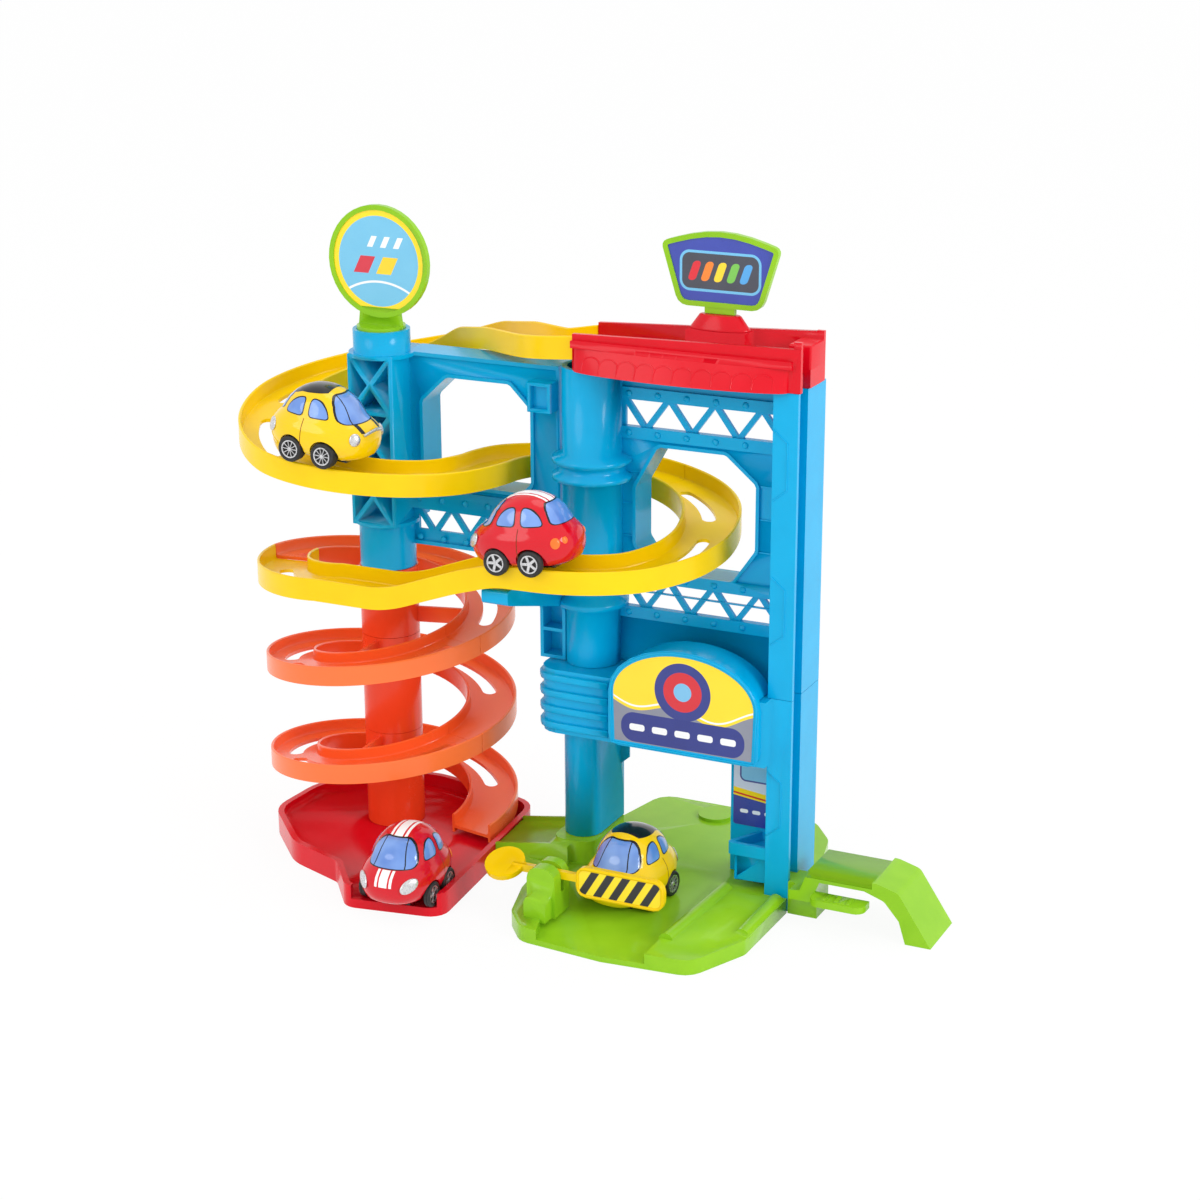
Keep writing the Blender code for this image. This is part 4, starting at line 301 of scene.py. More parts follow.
def spiral_orange():
    paint = Paint("spiral_orange")
    x, y, _ = paint.axes((LEFT_COLUMN, 0, 0))
    reach = (x * x + y * y) ** 0.5
    swirl, skin = paint.noise(40.0, 3.0), paint.noise(1400.0)
    # painted light: the thin rims are painted paler, as if lit through, and the tube below is painted a
    # deeper, shaded orange
    painted_rim_glow = reach.above(RIM_REACH, 18.0) * 0.9 + swirl * 0.1
    colour = paint.mix(painted_rim_glow, (250, 96, 40), (252, 118, 58))
    colour = paint.mix(reach.below(TUBE_REACH, 8.0), colour, (244, 74, 34))
    gloss = 0.24 + (skin - 0.5) * 0.1 + (swirl - 0.5) * 0.12
    return paint.finish(colour, gloss, paint.noise(190.0, 1.0) + skin * 0.1, 0.04 * MM, IOR=1.5,
                        Specular_IOR_Level=0.3, Coat_Weight=0.15, Coat_Roughness=0.1)


ORANGE = spiral_orange()
print("orange:", ORANGE.name)

# %% [markdown]
# ## The small finishes
# Tyres are matt black with a little dust, the hubs and lamps have a bright metal look, and the windows are
# a deep blue gloss. The pin through the barrier is plain steel.

# %% Rubber, bright trim, glass and steel
def rubber():
    paint = Paint("tyre_black")
    dust = paint.noise(300.0, 4.0)
    colour = paint.mix(dust.above(0.55, 0.2), (20, 20, 22), (44, 43, 42))
    return paint.finish(colour, 0.55 + (dust - 0.5) * 0.3, paint.noise(2200.0), 0.03 * MM, IOR=1.5)


def bright(name, low, high, rough):
    paint = Paint(name)
    marks = paint.noise(900.0, 4.0)
    colour = paint.mix(marks.above(0.5, 0.25), low, high)
    return paint.finish(colour, rough + (marks - 0.5) * 0.15, marks, 0.01 * MM, Metallic=0.85)


def window_blue():
    paint = Paint("window_blue")
    drift = paint.noise(60.0)
    colour = paint.mix(drift.above(0.5, 0.25), (84, 128, 204), (120, 160, 226))
    return paint.finish(colour, 0.1 + (paint.noise(700.0) - 0.5) * 0.08, drift, 0.02 * MM, IOR=1.5,
                        Coat_Weight=0.8, Coat_Roughness=0.05)


RUBBER = rubber()
BRIGHT = bright("hub_silver", (196, 196, 198), (226, 226, 228), 0.28)
STEEL = bright("pin_steel", (150, 150, 152), (186, 186, 188), 0.34)
WINDOW = window_blue()
print("small finishes:", RUBBER.name, BRIGHT.name, STEEL.name, WINDOW.name)

# %% [markdown]
# ## Putting pieces in the scene
# A finished shape becomes an object at the origin, with its place in its mesh, and rides on the body that
# carries a solid, beside that solid or instead of it. Most of the toy's solids are already right, so their
# own shape is kept: a merged copy stands for each, because merging joins the loose triangles so that round
# walls shade smoothly while real corners stay sharp.

# %% Place a piece, and the plain mouldings
SHARP_ANGLE = math.radians(35.0)
WELD = 0.001 * MM


def placed(name, shape, material, node, replaces=False):
    """Turns a finished bmesh into a piece on a solid's body, beside the solid or instead of it."""
    mesh = bpy.data.meshes.new(name)
    shape.to_mesh(mesh)
    shape.free()
    mesh.materials.append(material)
    mesh.shade_smooth()
    mesh.set_sharp_from_angle(angle=SHARP_ANGLE)
    piece = bpy.data.objects.new(name, mesh)
    bpy.context.scene.collection.objects.link(piece)
    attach(piece, NODES[node]["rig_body"])
    if replaces:
        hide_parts(node)
    return piece


def merged(node):
    """A bmesh of a solid, with its loose triangles joined and its flat areas made whole."""
    shape = bmesh.new()
    shape.from_mesh(NODES[node].data)
    bmesh.ops.remove_doubles(shape, verts=shape.verts, dist=WELD)
    bmesh.ops.dissolve_limit(shape, angle_limit=math.radians(0.3), verts=shape.verts, edges=shape.edges)
    return shape


def recoated(node, material):
    """Gives a solid that keeps its own shape a better material."""
    NODES[node].data.materials.clear()
    NODES[node].data.materials.append(material)


MOULDINGS = {"garage_blue": (BLUE, ("upper_tower", "lower_tower", "left_wing")),
             "red_plastic": (RED, ("exit_tray",)),
             "green_plastic": (GREEN, ("base_plate", "lift_platform", "roof_sign", "round_sign")),
             "yellow_plastic": (YELLOW, ("barrier_arm",))}
for slot, (material, nodes) in MOULDINGS.items():
    for node in nodes:
        placed(node + "_moulding", merged(node), material, node, replaces=True)
recoated("barrier_pin", STEEL)

# %% [markdown]
# ## A small workshop
# Everything that is drawn again is made in a few ways. A ring of points is extruded from station to
# station, a profile is spun, a flat outline is pushed into a prism, and the exact solver joins such shapes
# or cuts one by another.

# %% Rings, sweeps and spins
def moved(shape, matrix):
    bmesh.ops.transform(shape, matrix=matrix, verts=shape.verts)
    return shape


def shift(x, y, z):
    """A move in millimetres."""
    return Matrix.Translation(Vector((x, y, z)) * MM)


def turn(degrees, axis):
    return Matrix.Rotation(math.radians(degrees), 4, axis)


def vertices(geometry):
    return [item for item in geometry if isinstance(item, bmesh.types.BMVert)]


def ring_of(shape, points, closed=True):
    """New vertices at the points and the edges from each to the next."""
    corners = [shape.verts.new(point) for point in points]
    loop = corners + corners[:1] if closed else corners
    return corners, [shape.edges.new(pair) for pair in zip(loop, loop[1:])]


def next_ring(shape, ring):
    """Extrudes a ring of edges on the spot and gives its new corners and edges."""
    made = bmesh.ops.extrude_edge_only(shape, edges=ring)["geom"]
    corners = vertices(made)
    fresh = set(corners)
    return corners, [item for item in made
                     if isinstance(item, bmesh.types.BMEdge) and set(item.verts) <= fresh]


def facing_out(shape):
    bmesh.ops.recalc_face_normals(shape, faces=shape.faces)
    return shape


def capped(shape):
    """The shape with its open ends filled."""
    bmesh.ops.holes_fill(shape, edges=[edge for edge in shape.edges if edge.is_boundary])
    return facing_out(shape)


def swept(section, stations):
    """A section of (across, up), drawn through the matrices of its stations."""
    shape = bmesh.new()
    corners, ring = ring_of(shape, [(across, 0, up) for across, up in section])
    bmesh.ops.transform(shape, matrix=stations[0], verts=corners)
    for here, there in zip(stations, stations[1:]):
        corners, ring = next_ring(shape, ring)
        bmesh.ops.transform(shape, matrix=there @ here.inverted(), verts=corners)
    return capped(shape)


def spun(profile, steps=96, closed=True):
    """A profile of (radius, height) in millimetres, spun about the upright axis."""
    shape = bmesh.new()
    corners, ring = ring_of(shape, [(radius * MM, 0, height * MM) for radius, height in profile], closed)
    bmesh.ops.spin(shape, geom=corners + ring, cent=(0, 0, 0), axis=(0, 0, 1), angle=math.radians(360.0),
                   steps=steps, use_merge=True, use_normal_flip=False, use_duplicate=False)
    bmesh.ops.remove_doubles(shape, verts=shape.verts, dist=WELD)
    return facing_out(shape)


print("sweeps and spins ready")

# %% Beads, prisms and the solver
BEAD_SIDES = 10


def bead(path, radius):
    """A thin round moulding along points in millimetres; each ring turns only as far as the path."""
    points = [Vector(point) * MM for point in path]
    angles = [2 * math.pi * side / BEAD_SIDES for side in range(BEAD_SIDES)]
    section = [(radius * MM * math.cos(angle), radius * MM * math.sin(angle)) for angle in angles]
    way = (points[1] - points[0]).normalized()
    pose = way.to_track_quat("Y", "Z").to_matrix()
    stations = []
    for index, here in enumerate(points):
        onward = (points[min(index + 1, len(points) - 1)] - points[max(index - 1, 0)]).normalized()
        pose = way.rotation_difference(onward).to_matrix() @ pose
        way = onward
        stations.append(Matrix.Translation(here) @ pose.to_4x4())
    return swept(section, stations)


def prism(points, low, high, along="Y"):
    """A straight prism of an outline in millimetres, pushed along Y or X."""
    shape = bmesh.new()
    if along == "Y":
        corners = [shape.verts.new((first * MM, low * MM, second * MM)) for first, second in points]
        vector = (0, (high - low) * MM, 0)
    else:
        corners = [shape.verts.new((low * MM, first * MM, second * MM)) for first, second in points]
        vector = ((high - low) * MM, 0, 0)
    made = bmesh.ops.extrude_face_region(shape, geom=[shape.faces.new(corners)])["geom"]
    bmesh.ops.translate(shape, vec=vector, verts=vertices(made))
    return facing_out(shape)


def block(x0, x1, y0, y1, z0, z1):
    """A box between limits in millimetres."""
    return prism([(x0, z0), (x1, z0), (x1, z1), (x0, z1)], y0, y1)


def eased(points, radius, steps=4):
    """An outline in millimetres with its corners rounded."""
    made = []
    for index, corner in enumerate(points):
        here = Vector(corner)
        back, onward = Vector(points[index - 1]) - here, Vector(points[(index + 1) % len(points)]) - here
        reach = min(radius, 0.45 * back.length, 0.45 * onward.length)
        first, last = here + back.normalized() * reach, here + onward.normalized() * reach
        for step in range(steps + 1):
            share = step / steps
            made.append(tuple(first.lerp(here, share).lerp(here.lerp(last, share), share)))
    return made


def together(shapes):
    """One bmesh that holds them all."""
    whole = bmesh.new()
    for shape in shapes:
        mesh = bpy.data.meshes.new("part")
        shape.to_mesh(mesh)
        shape.free()
        whole.from_mesh(mesh)
        bpy.data.meshes.remove(mesh)
    return whole


def solved(target, others, operation):
    """A bmesh joined with, cut by or kept inside others, through the exact solver."""
    helpers = []
    for source in [target] + others:
        helper = bpy.data.objects.new("helper", bpy.data.meshes.new("helper"))
        source.to_mesh(helper.data)
        source.free()
        bpy.context.scene.collection.objects.link(helper)
        helpers.append(helper)
    for helper in helpers[1:]:
        step = helpers[0].modifiers.new("step", "BOOLEAN")
        step.operation = operation
        step.solver = "EXACT"
        step.object = helper
    bpy.context.view_layer.update()
    result = bmesh.new()
    result.from_object(helpers[0], bpy.context.evaluated_depsgraph_get())
    for helper in helpers:
        bpy.data.objects.remove(helper, do_unlink=True)
    return result


print("workshop ready")

# %% [markdown]
# ## The tracks
# A track is one channel section drawn along a route. Its stations lie a few millimetres apart, so that the
# loops run round, and long slots with rounded ends are cut along the same route.

# %% A channel and its slots
TROUGH = 1.6 * MM
SLOT_STEPS, SLOT_PAST = 26, 2 * MM  # a cutter reaches a little past the skirts


def channel(width, height, wall, depth, floor):
    """The channel's section, anticlockwise: eased rims, a rounded trough and a flat floor between skirts."""
    half, inner, ease = width / 2, width / 2 - wall, wall * 0.35
    right = [(inner, -height), (half, -height), (half, -ease), (half - ease, 0), (inner + ease, 0),
             (inner, -ease), (inner, -depth + TROUGH), (inner - TROUGH * 0.3, -depth + TROUGH * 0.3),
             (inner - TROUGH, -depth)]
    left = [(-across, up) for across, up in right[::-1]]
    return [(inner, -depth - floor)] + right + left + [(-inner, -depth - floor)]


def station(place, aside, ratio, top):
    """The matrix that stands a section upright at one point of a route."""
    return Matrix(((aside.x * ratio, -aside.y, 0, place.x), (aside.y * ratio, aside.x, 0, place.y),
                   (0, 0, 1, top), (0, 0, 0, 1)))


def frame_at(frames, lengths, distance):
    for index in range(len(frames) - 1):
        if distance <= lengths[index + 1]:
            share = (distance - lengths[index]) / (lengths[index + 1] - lengths[index])
            (p0, a0, r0, h0), (p1, a1, r1, h1) = frames[index], frames[index + 1]
            return (p0.lerp(p1, share), a0.lerp(a1, share).normalized(), r0 + (r1 - r0) * share,
                    h0 + (h1 - h0) * share)
    return frames[-1]


def slot_cutter(frames, lengths, start, run, width, sideways, height):
    """A prism with rounded ends that follows the route for the length of one slot."""
    half = width / 2
    stations = []
    for index in range(SLOT_STEPS + 1):
        distance = start + run / 2 - run / 2 * math.cos(math.pi * index / SLOT_STEPS)
        past = max(0.0, abs(distance - start - run / 2) - (run / 2 - half))
        narrow = max(0.04, math.sqrt(max(0.0, 1 - (past / half) ** 2)))
        place, aside, _, top = frame_at(frames, lengths, distance)
        stations.append(station(place + aside * sideways, aside, narrow, top))
    section = [(-half, SLOT_PAST / 2), (-half, -height - SLOT_PAST), (half, -height - SLOT_PAST),
               (half, SLOT_PAST / 2)]
    return swept(section, stations)


def track(name, node, frames, lengths, kind):
    """A slotted channel along its frames; the kind holds its section, slots, material and slot name (not
    used).
    """
    section, height, (start, pitch, run, width, sideways), material, slot = kind
    cutters, begin = [], start
    while begin + run <= lengths[-1] - start:
        cutters.append(slot_cutter(frames, lengths, begin, run, width, sideways, height))
        begin += pitch
    count = len(cutters)
    shape = solved(swept(section, [station(*entry) for entry in frames]), cutters, "DIFFERENCE")
    piece = placed(name, shape, material, node, replaces=True)
    print(name, "slots:", count, "faces:", len(piece.data.polygons))


TRACK_WIDTH, TRACK_HEIGHT = 37.5 * MM, 14.5 * MM
TRACK_SLOTS = (14 * MM, 74 * MM, 52 * MM, 9 * MM, 1.5 * MM)  # start, pitch, length, width, sideways
YELLOW_KIND = (channel(TRACK_WIDTH, TRACK_HEIGHT, 1.9 * MM, 10 * MM, 2.2 * MM), TRACK_HEIGHT, TRACK_SLOTS,
               YELLOW, "yellow_plastic")
print("section points:", len(YELLOW_KIND[0]))

# %% [markdown]
# A route is a chain of arcs and straight lines. The rim's height is known at some angles round each
# column; it slopes evenly from one to the next and is eased a little where two slopes meet.

# %% Routes and heights
PITCH = 4 * MM
EASE_STEPS = (-6, -3, 0, 3, 6)  # millimetres


def heading(degrees):
    return Vector((math.cos(math.radians(degrees)), math.sin(math.radians(degrees))))


def round_arc(centre, radius, start, sweep, inside=False):
    """Points and sideways directions round an arc, every few millimetres."""
    count = max(2, round(abs(math.radians(sweep)) * radius / PITCH))
    for index in range(count + 1):
        way = heading(start + sweep * index / count)
        yield centre + way * radius, -way if inside else way


def along_line(start, end, aside):
    count = max(2, round((end - start).length / PITCH))
    for index in range(count + 1):
        yield start.lerp(end, index / count), aside


def joined(*runs):
    route = []
    for run in runs:
        for place, aside in run:
            if not route or (place - route[-1][0]).length > 1 * MM:
                route.append((place, aside))
    return route


def height_at(knots, where):
    if where <= knots[0][0]:
        return knots[0][1]
    for (d0, h0), (d1, h1) in zip(knots, knots[1:]):
        if where <= d1:
            return h0 + (h1 - h0) * (where - d0) / (d1 - d0)
    return knots[-1][1]


def frames_along(route, knots):
    """Each station's place, sideways direction, width ratio and rim height, and its distance."""
    lengths = [0.0]
    for (here, _), (there, _) in zip(route, route[1:]):
        lengths.append(lengths[-1] + (there - here).length)
    rims = [sum(height_at(knots, length + step * MM) for step in EASE_STEPS) / len(EASE_STEPS)
            for length in lengths]
    return [(place, aside, 1.0, rim) for (place, aside), rim in zip(route, rims)], lengths


print("stations every", PITCH / MM, "mm")

# %% [markdown]
# The upper track leaves the roof on a bend, runs straight to the left column, loops round it and crosses
# over to the right column, where a seam joins it to the lower track. The lower track goes on round the
# right column, runs back along the front and narrows into the spiral.

# %% The upper track
LOOP, BEND = 75 * MM, 60 * MM
BEND_CENTRE = Vector((-4.3 * MM, 60 * MM))
LEFT_AXIS, RIGHT_AXIS = Vector((LEFT_COLUMN, 0)), Vector((0, 0))
SEAM_ANGLE = 75.0
ARC_DEGREE = math.radians(1.0) * LOOP
LEFT_HEIGHTS = ((61, 338.0), (86, 324.5), (104, 318.0), (136, 309.0), (158, 304.0), (180, 299.0),
                (205, 291.0), (243, 280.0), (306, 272.5), (330, 270.0), (350, 269.0))
RIGHT_HEIGHTS = ((180, 268.0), (158, 266.5), (120, 260.0), (67, 251.0), (22, 244.0), (0, 237.0),
                 (-20, 233.0), (-45, 230.0), (-90, 230.0))
RIM_AT_ROOF, RIM_AFTER_BEND, RIM_ON_RUN, ON_RUN = 356.5 * MM, 350.5 * MM, 346.5 * MM, 0.55

# The straight run touches the bend and the loop on opposite sides, which fixes its course.
between = LEFT_AXIS - BEND_CENTRE
course = math.degrees(math.atan2(between.y, between.x)) % 360 \
    - math.degrees(math.asin((LOOP + BEND) / between.length))
touch = course - 90.0
first_bend = list(round_arc(BEND_CENTRE, BEND, 270.0, course - 180.0, inside=True))
loop_start = LEFT_AXIS + heading(touch) * LOOP
upper_route = joined(first_bend, along_line(first_bend[-1][0], loop_start, heading(touch)),
                     round_arc(LEFT_AXIS, LOOP, touch, 360.0 - touch),
                     round_arc(RIGHT_AXIS, LOOP, 180.0, SEAM_ANGLE - 180.0, inside=True))
bend_length = math.radians(180.0 - course) * BEND
run_length = (loop_start - first_bend[-1][0]).length
begin = bend_length + run_length
crossing = begin + (360.0 - touch) * ARC_DEGREE
upper_knots = [(0, RIM_AT_ROOF), (bend_length, RIM_AFTER_BEND),
               (bend_length + run_length * ON_RUN, RIM_ON_RUN)]
upper_knots += [(begin + (angle - touch) * ARC_DEGREE, height * MM) for angle, height in LEFT_HEIGHTS]
upper_knots += [(crossing + (180.0 - angle) * ARC_DEGREE, height * MM) for angle, height in RIGHT_HEIGHTS]
track("upper_track_fine", "upper_track", *frames_along(upper_route, upper_knots), YELLOW_KIND)

# %% The lower track narrows into the spiral
SPIRAL_START, SPIRAL_TOP, SPIRAL_PITCH = 188.0, 193 * MM, 67.5 * MM
SPIRAL_RADIUS, SPIRAL_WIDTH = 83 * MM, 33 * MM
SPIRAL_MIDDLE = SPIRAL_RADIUS - SPIRAL_WIDTH / 2
STRAIGHT_END = 203.0 * MM
STRAIGHT_HEIGHTS = ((-22, 229.4), (-48, 221.7), (-70, 213.7), (-90, 206.2), (-105, 203.0), (-150, 203.0))
SEAM_GAP = 0.3 * MM
LAST_STEPS = 30

seam = math.degrees(SEAM_GAP / LOOP)
half_loop = list(round_arc(RIGHT_AXIS, LOOP, SEAM_ANGLE - seam, -90.0 - SEAM_ANGLE + seam, inside=True))
front_run = along_line(half_loop[-1][0], Vector((LEFT_COLUMN, -LOOP)), Vector((0, 1)))
loop_length = math.radians(SEAM_ANGLE - seam + 90.0) * LOOP
lower_knots = [((SEAM_ANGLE - angle) * ARC_DEGREE, height * MM) for angle, height in RIGHT_HEIGHTS]
lower_knots += [(loop_length - x * MM, height * MM) for x, height in STRAIGHT_HEIGHTS]
lower_frames, lower_lengths = frames_along(joined(half_loop, front_run), lower_knots)
for index in range(1, LAST_STEPS + 1):
    share = index / LAST_STEPS
    angle = 270.0 + (SPIRAL_START + seam - 270.0) * share
    ease = share * share * (3 - 2 * share)
    place = LEFT_AXIS + heading(angle) * (LOOP + (SPIRAL_MIDDLE - LOOP) * ease)
    lower_lengths.append(lower_lengths[-1] + (place - lower_frames[-1][0]).length)
    lower_frames.append((place, -heading(angle), 1.0 + (SPIRAL_WIDTH / TRACK_WIDTH - 1.0) * ease,
                         STRAIGHT_END + (SPIRAL_TOP - STRAIGHT_END) * share))
track("lower_track_fine", "lower_track", lower_frames, lower_lengths, YELLOW_KIND)

# %% [markdown]
# ## The spiral
# Three lengths of ramp stack on the tray, each moulded with its own length of tube and two flat webs that
# join them. The ramp is the same kind of channel, narrower and shallower.

# %% Build the three lengths of the spiral
SPIRAL_LENGTHS = (  # node, degrees, the tube's top and foot in millimetres, where the webs stand
    ("helix_top", 204.0, 187.0, 141.0, (0.35, 0.85)), ("helix_middle", 360.0, 140.7, 73.5, (0.2, 0.7)),
    ("helix_bottom", 356.0, 73.2, 6.3, (0.2, 0.7)))
SPIRAL_HEIGHT, SPIRAL_DEPTH = 13 * MM, 7.8 * MM
SPIRAL_SLOTS = (8 * MM, 72 * MM, 60 * MM, 9.5 * MM, 0.0)
SPIRAL_KIND = (channel(SPIRAL_WIDTH, SPIRAL_HEIGHT, 1.9 * MM, SPIRAL_DEPTH, 2.2 * MM), SPIRAL_HEIGHT,
               SPIRAL_SLOTS, ORANGE, "orange_plastic")
TUBE_RADIUS, TUBE_WALL = 19.3, 2.2
WEB_REACH = (TUBE_RADIUS - 1.0, (SPIRAL_RADIUS - SPIRAL_WIDTH) / MM + 1.0)
WEB_UNDER, WEB_DEEP = 2.2, 12.7  # millimetres under the ramp's rim
FALL = SPIRAL_PITCH / 360.0


def ramp_frames(angle, rim, sweep):
    """The frames of one length, which stops a hair before the next one starts."""
    count = round(math.radians(sweep) * SPIRAL_MIDDLE / PITCH)
    turns = [(sweep - math.degrees(SEAM_GAP / SPIRAL_MIDDLE)) * index / count for index in range(count + 1)]
    frames = [(LEFT_AXIS + heading(angle - by) * SPIRAL_MIDDLE, heading(angle - by), 1.0, rim - FALL * by)
              for by in turns]
    return frames, [math.radians(by) * SPIRAL_MIDDLE for by in turns]


def tube_with_webs(angle, rim, sweep, top, foot, webs):
    inner = TUBE_RADIUS - TUBE_WALL
    shapes = [spun([(TUBE_RADIUS, foot), (TUBE_RADIUS, top), (inner, top), (inner, foot)])]
    for share in webs:
        under = (rim - FALL * sweep * share) / MM
        web = block(*WEB_REACH, -TUBE_WALL / 2, TUBE_WALL / 2, max(under - WEB_DEEP, foot + 0.3),
                    min(under - WEB_UNDER, top - 0.3))
        shapes.append(moved(web, turn(angle - sweep * share, "Z")))
    return moved(together(shapes), Matrix.Translation(LEFT_AXIS.to_3d()))


angle, rim = SPIRAL_START, SPIRAL_TOP
for node, sweep, tube_top, tube_foot, webs in SPIRAL_LENGTHS:
    track(node + "_ramp", node, *ramp_frames(angle, rim, sweep), SPIRAL_KIND)
    placed(node + "_tube", tube_with_webs(angle, rim, sweep, tube_top, tube_foot, webs), ORANGE, node)
    angle -= sweep
    rim -= FALL * sweep
print("spiral lengths:", len(SPIRAL_LENGTHS))

# %% [markdown]
# ## Trim of the towers and the roof
# Each rail of the trusses carries a row of domed rivet heads. Fine raised lines step down the front of the
# lift post, and an arched hood reaches from the entrance sign back to the wall: half an ellipse, hollow
# like the moulding.

# %% Rivets, post lines and the sign's hood
RIVET_RADIUS, RIVET_RISE, RIVET_FACE = 2.1, 1.4, 4.8
RIVETS_IN_ROW = 6
RIVET_ROWS = {"tower_rivets": (23.0, 19.5, (293.6, 318.5, 176.4, 201.3)),
              "wing_rivets": (-128.0, 17.0, (233.0, 207.0))}  # first place, pitch, heights
DOME = Matrix.Diagonal((RIVET_RADIUS, RIVET_RISE, RIVET_RADIUS, 1.0))
for name, (first, pitch, heights) in RIVET_ROWS.items():
    heads = []
    for height in heights:
        for index in range(RIVETS_IN_ROW):
            head = bmesh.new()
            bmesh.ops.create_uvsphere(head, u_segments=20, v_segments=12, radius=1.0 * MM)
            heads.append(moved(head, shift(first + pitch * index, RIVET_FACE, height) @ DOME))
    placed(name, together(heads), BLUE, "upper_tower")

POST_FACE, POST_SEAM, POST_EDGE = -19.1, 129.2, 138.0
LINE_TOPS, LINE_RADIUS = (311.9, 220.3, 94.0), 0.45
LINE_STEPS = ((POST_SEAM, 0.0), (POST_EDGE, 7.3), (POST_EDGE, 36.4), (POST_SEAM, 43.6))
post_lines = [bead([(x, POST_FACE, top - drop) for x, drop in LINE_STEPS], LINE_RADIUS) for top in LINE_TOPS]
placed("post_lines", together(post_lines), BLUE, "upper_tower")

SIGN_LEFT, SIGN_RIGHT, SIGN_SHOULDER, SIGN_TOP = 25.8, 128.0, 136.0, 168.5
ARCH_STEPS = 40
HOOD_FRONT, HOOD_BACK, HOOD_FOOT, HOOD_INSET, HOOD_WALL = -28.2, -7.0, 142.4, 1.5, 2.5


def arch(shrink, base):
    """The sign's arch, drawn in by some millimetres and closed along a base line."""
    middle, half = (SIGN_LEFT + SIGN_RIGHT) / 2, (SIGN_RIGHT - SIGN_LEFT) / 2 - shrink
    rise = SIGN_TOP - SIGN_SHOULDER - shrink
    turns = [math.pi * step / ARCH_STEPS for step in range(ARCH_STEPS + 1)]
    points = [(middle + half * math.cos(by), SIGN_SHOULDER + rise * math.sin(by)) for by in turns]
    foot = [(middle - half + 1, base), (middle + half - 1, base)]
    return [point for point in points if point[1] > base] + foot


hood_outside = prism(arch(HOOD_INSET, HOOD_FOOT), HOOD_FRONT, HOOD_BACK)
hood_inside = prism(arch(HOOD_INSET + HOOD_WALL, HOOD_FOOT + 1.6), HOOD_FRONT + 1.2, HOOD_BACK + 2.0)
hood = solved(hood_outside, [hood_inside], "DIFFERENCE")
placed("sign_hood", hood, BLUE, "entrance_sign")
print("rivet rows:", len(RIVET_ROWS), "post lines:", len(post_lines))

# %% [markdown]
# The roof's channel is closed at its right end by a block over the post. The cone under its sign is a
# turned profile with eased edges, flattened from front to back like the solid.

# %% The roof's end block and the cone under its sign
ROOF_CUT, BLOCK_LEFT, BLOCK_FRONT, BLOCK_BACK = 145.6, 131.0, -3.4, 20.4
BLOCK_FOOT, BLOCK_TOP, BLOCK_EASE = 335.9, 361.0, 1.2
roof_shape = solved(merged("roof"), [block(ROOF_CUT, 160.0, -40.0, 40.0, 330.0, 370.0)], "DIFFERENCE")
end_block = block(BLOCK_LEFT, ROOF_CUT - 0.02, BLOCK_FRONT, BLOCK_BACK, BLOCK_FOOT, BLOCK_TOP)
bmesh.ops.bevel(end_block, geom=end_block.edges[:], offset=BLOCK_EASE * MM, affect="EDGES", segments=4,
                profile=0.5, material=-1)
roof = placed("roof_moulding", solved(roof_shape, [end_block], "UNION"), RED, "roof",
              replaces=True)

CONE_PROFILE = ((0.0, 0.0), (1.0, 0.0), (1.0, 0.06), (0.98, 0.12), (0.7, 0.93), (0.66, 0.985), (0.6, 1.0),
                (0.0, 1.0))
cone_low, cone_high = (Vector(corner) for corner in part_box("sign_socket"))
cone_size = cone_high - cone_low
cone_radius = cone_size.x / 2 / MM
cone_foot = (cone_low + cone_high) / 2 - Vector((0, 0, cone_size.z / 2))
flatten = Matrix.Diagonal((1, cone_size.y / cone_size.x, 1, 1))
cone = spun([(reach * cone_radius, rise * cone_size.z / MM) for reach, rise in CONE_PROFILE], closed=False)
placed("sign_cone", moved(cone, Matrix.Translation(cone_foot) @ flatten), RED, "sign_socket",
       replaces=True)
print("roof faces:", len(roof.data.polygons))

# %% [markdown]
# A fine bowed skin lies a hair in front of the canopy's facets. A row of tiles stands on it, each outlined
# by a thin ridge: a bead along a path on the bowed face.

# %% Tiles on the canopy
CANOPY_LEFT, CANOPY_RIGHT, CANOPY_FOOT, CANOPY_TOP = -3.0, 138.0, 335.4, 352.0
CANOPY_FRONT, CANOPY_REACH, CANOPY_BACK, CANOPY_TAPER = -19.6, 12.5, -18.1, 0.35
CANOPY_WIDTH, SKIN_HEIGHT, SKIN_BACK = CANOPY_RIGHT - CANOPY_LEFT, CANOPY_TOP - CANOPY_FOOT - 2.4, -17.6
TILES, TILE_MARGIN, TILE_FOOT, TILE_SIDE, TILE_RISE = 10, 8.0, 336.4, 5.0, 4.2


def on_canopy(x, z):
    """The point of the bowed canopy's face at a place along it and a height, in millimetres."""
    share = (x - CANOPY_LEFT) / CANOPY_WIDTH
    foot_y = CANOPY_FRONT - CANOPY_REACH * max(0.0, math.sin(math.pi * share)) ** 0.45
    top_y = CANOPY_BACK + (foot_y - CANOPY_BACK) * CANOPY_TAPER
    return (x, foot_y + (top_y - foot_y) * (z - CANOPY_FOOT) / (CANOPY_TOP - CANOPY_FOOT), z)


canopy = bmesh.new()
bmesh.ops.create_grid(canopy, x_segments=140, y_segments=6, size=0.5)
for vert in canopy.verts:
    x, y, z = on_canopy(CANOPY_LEFT + (vert.co.x + 0.5) * CANOPY_WIDTH,
                        CANOPY_FOOT + (vert.co.y + 0.5) * SKIN_HEIGHT)
    vert.co = (x * MM, (y - 0.25) * MM, z * MM)
for vert in vertices(bmesh.ops.extrude_face_region(canopy, geom=canopy.faces[:])["geom"]):
    vert.co.y = SKIN_BACK * MM
placed("canopy_skin", facing_out(canopy), RED, "roof")

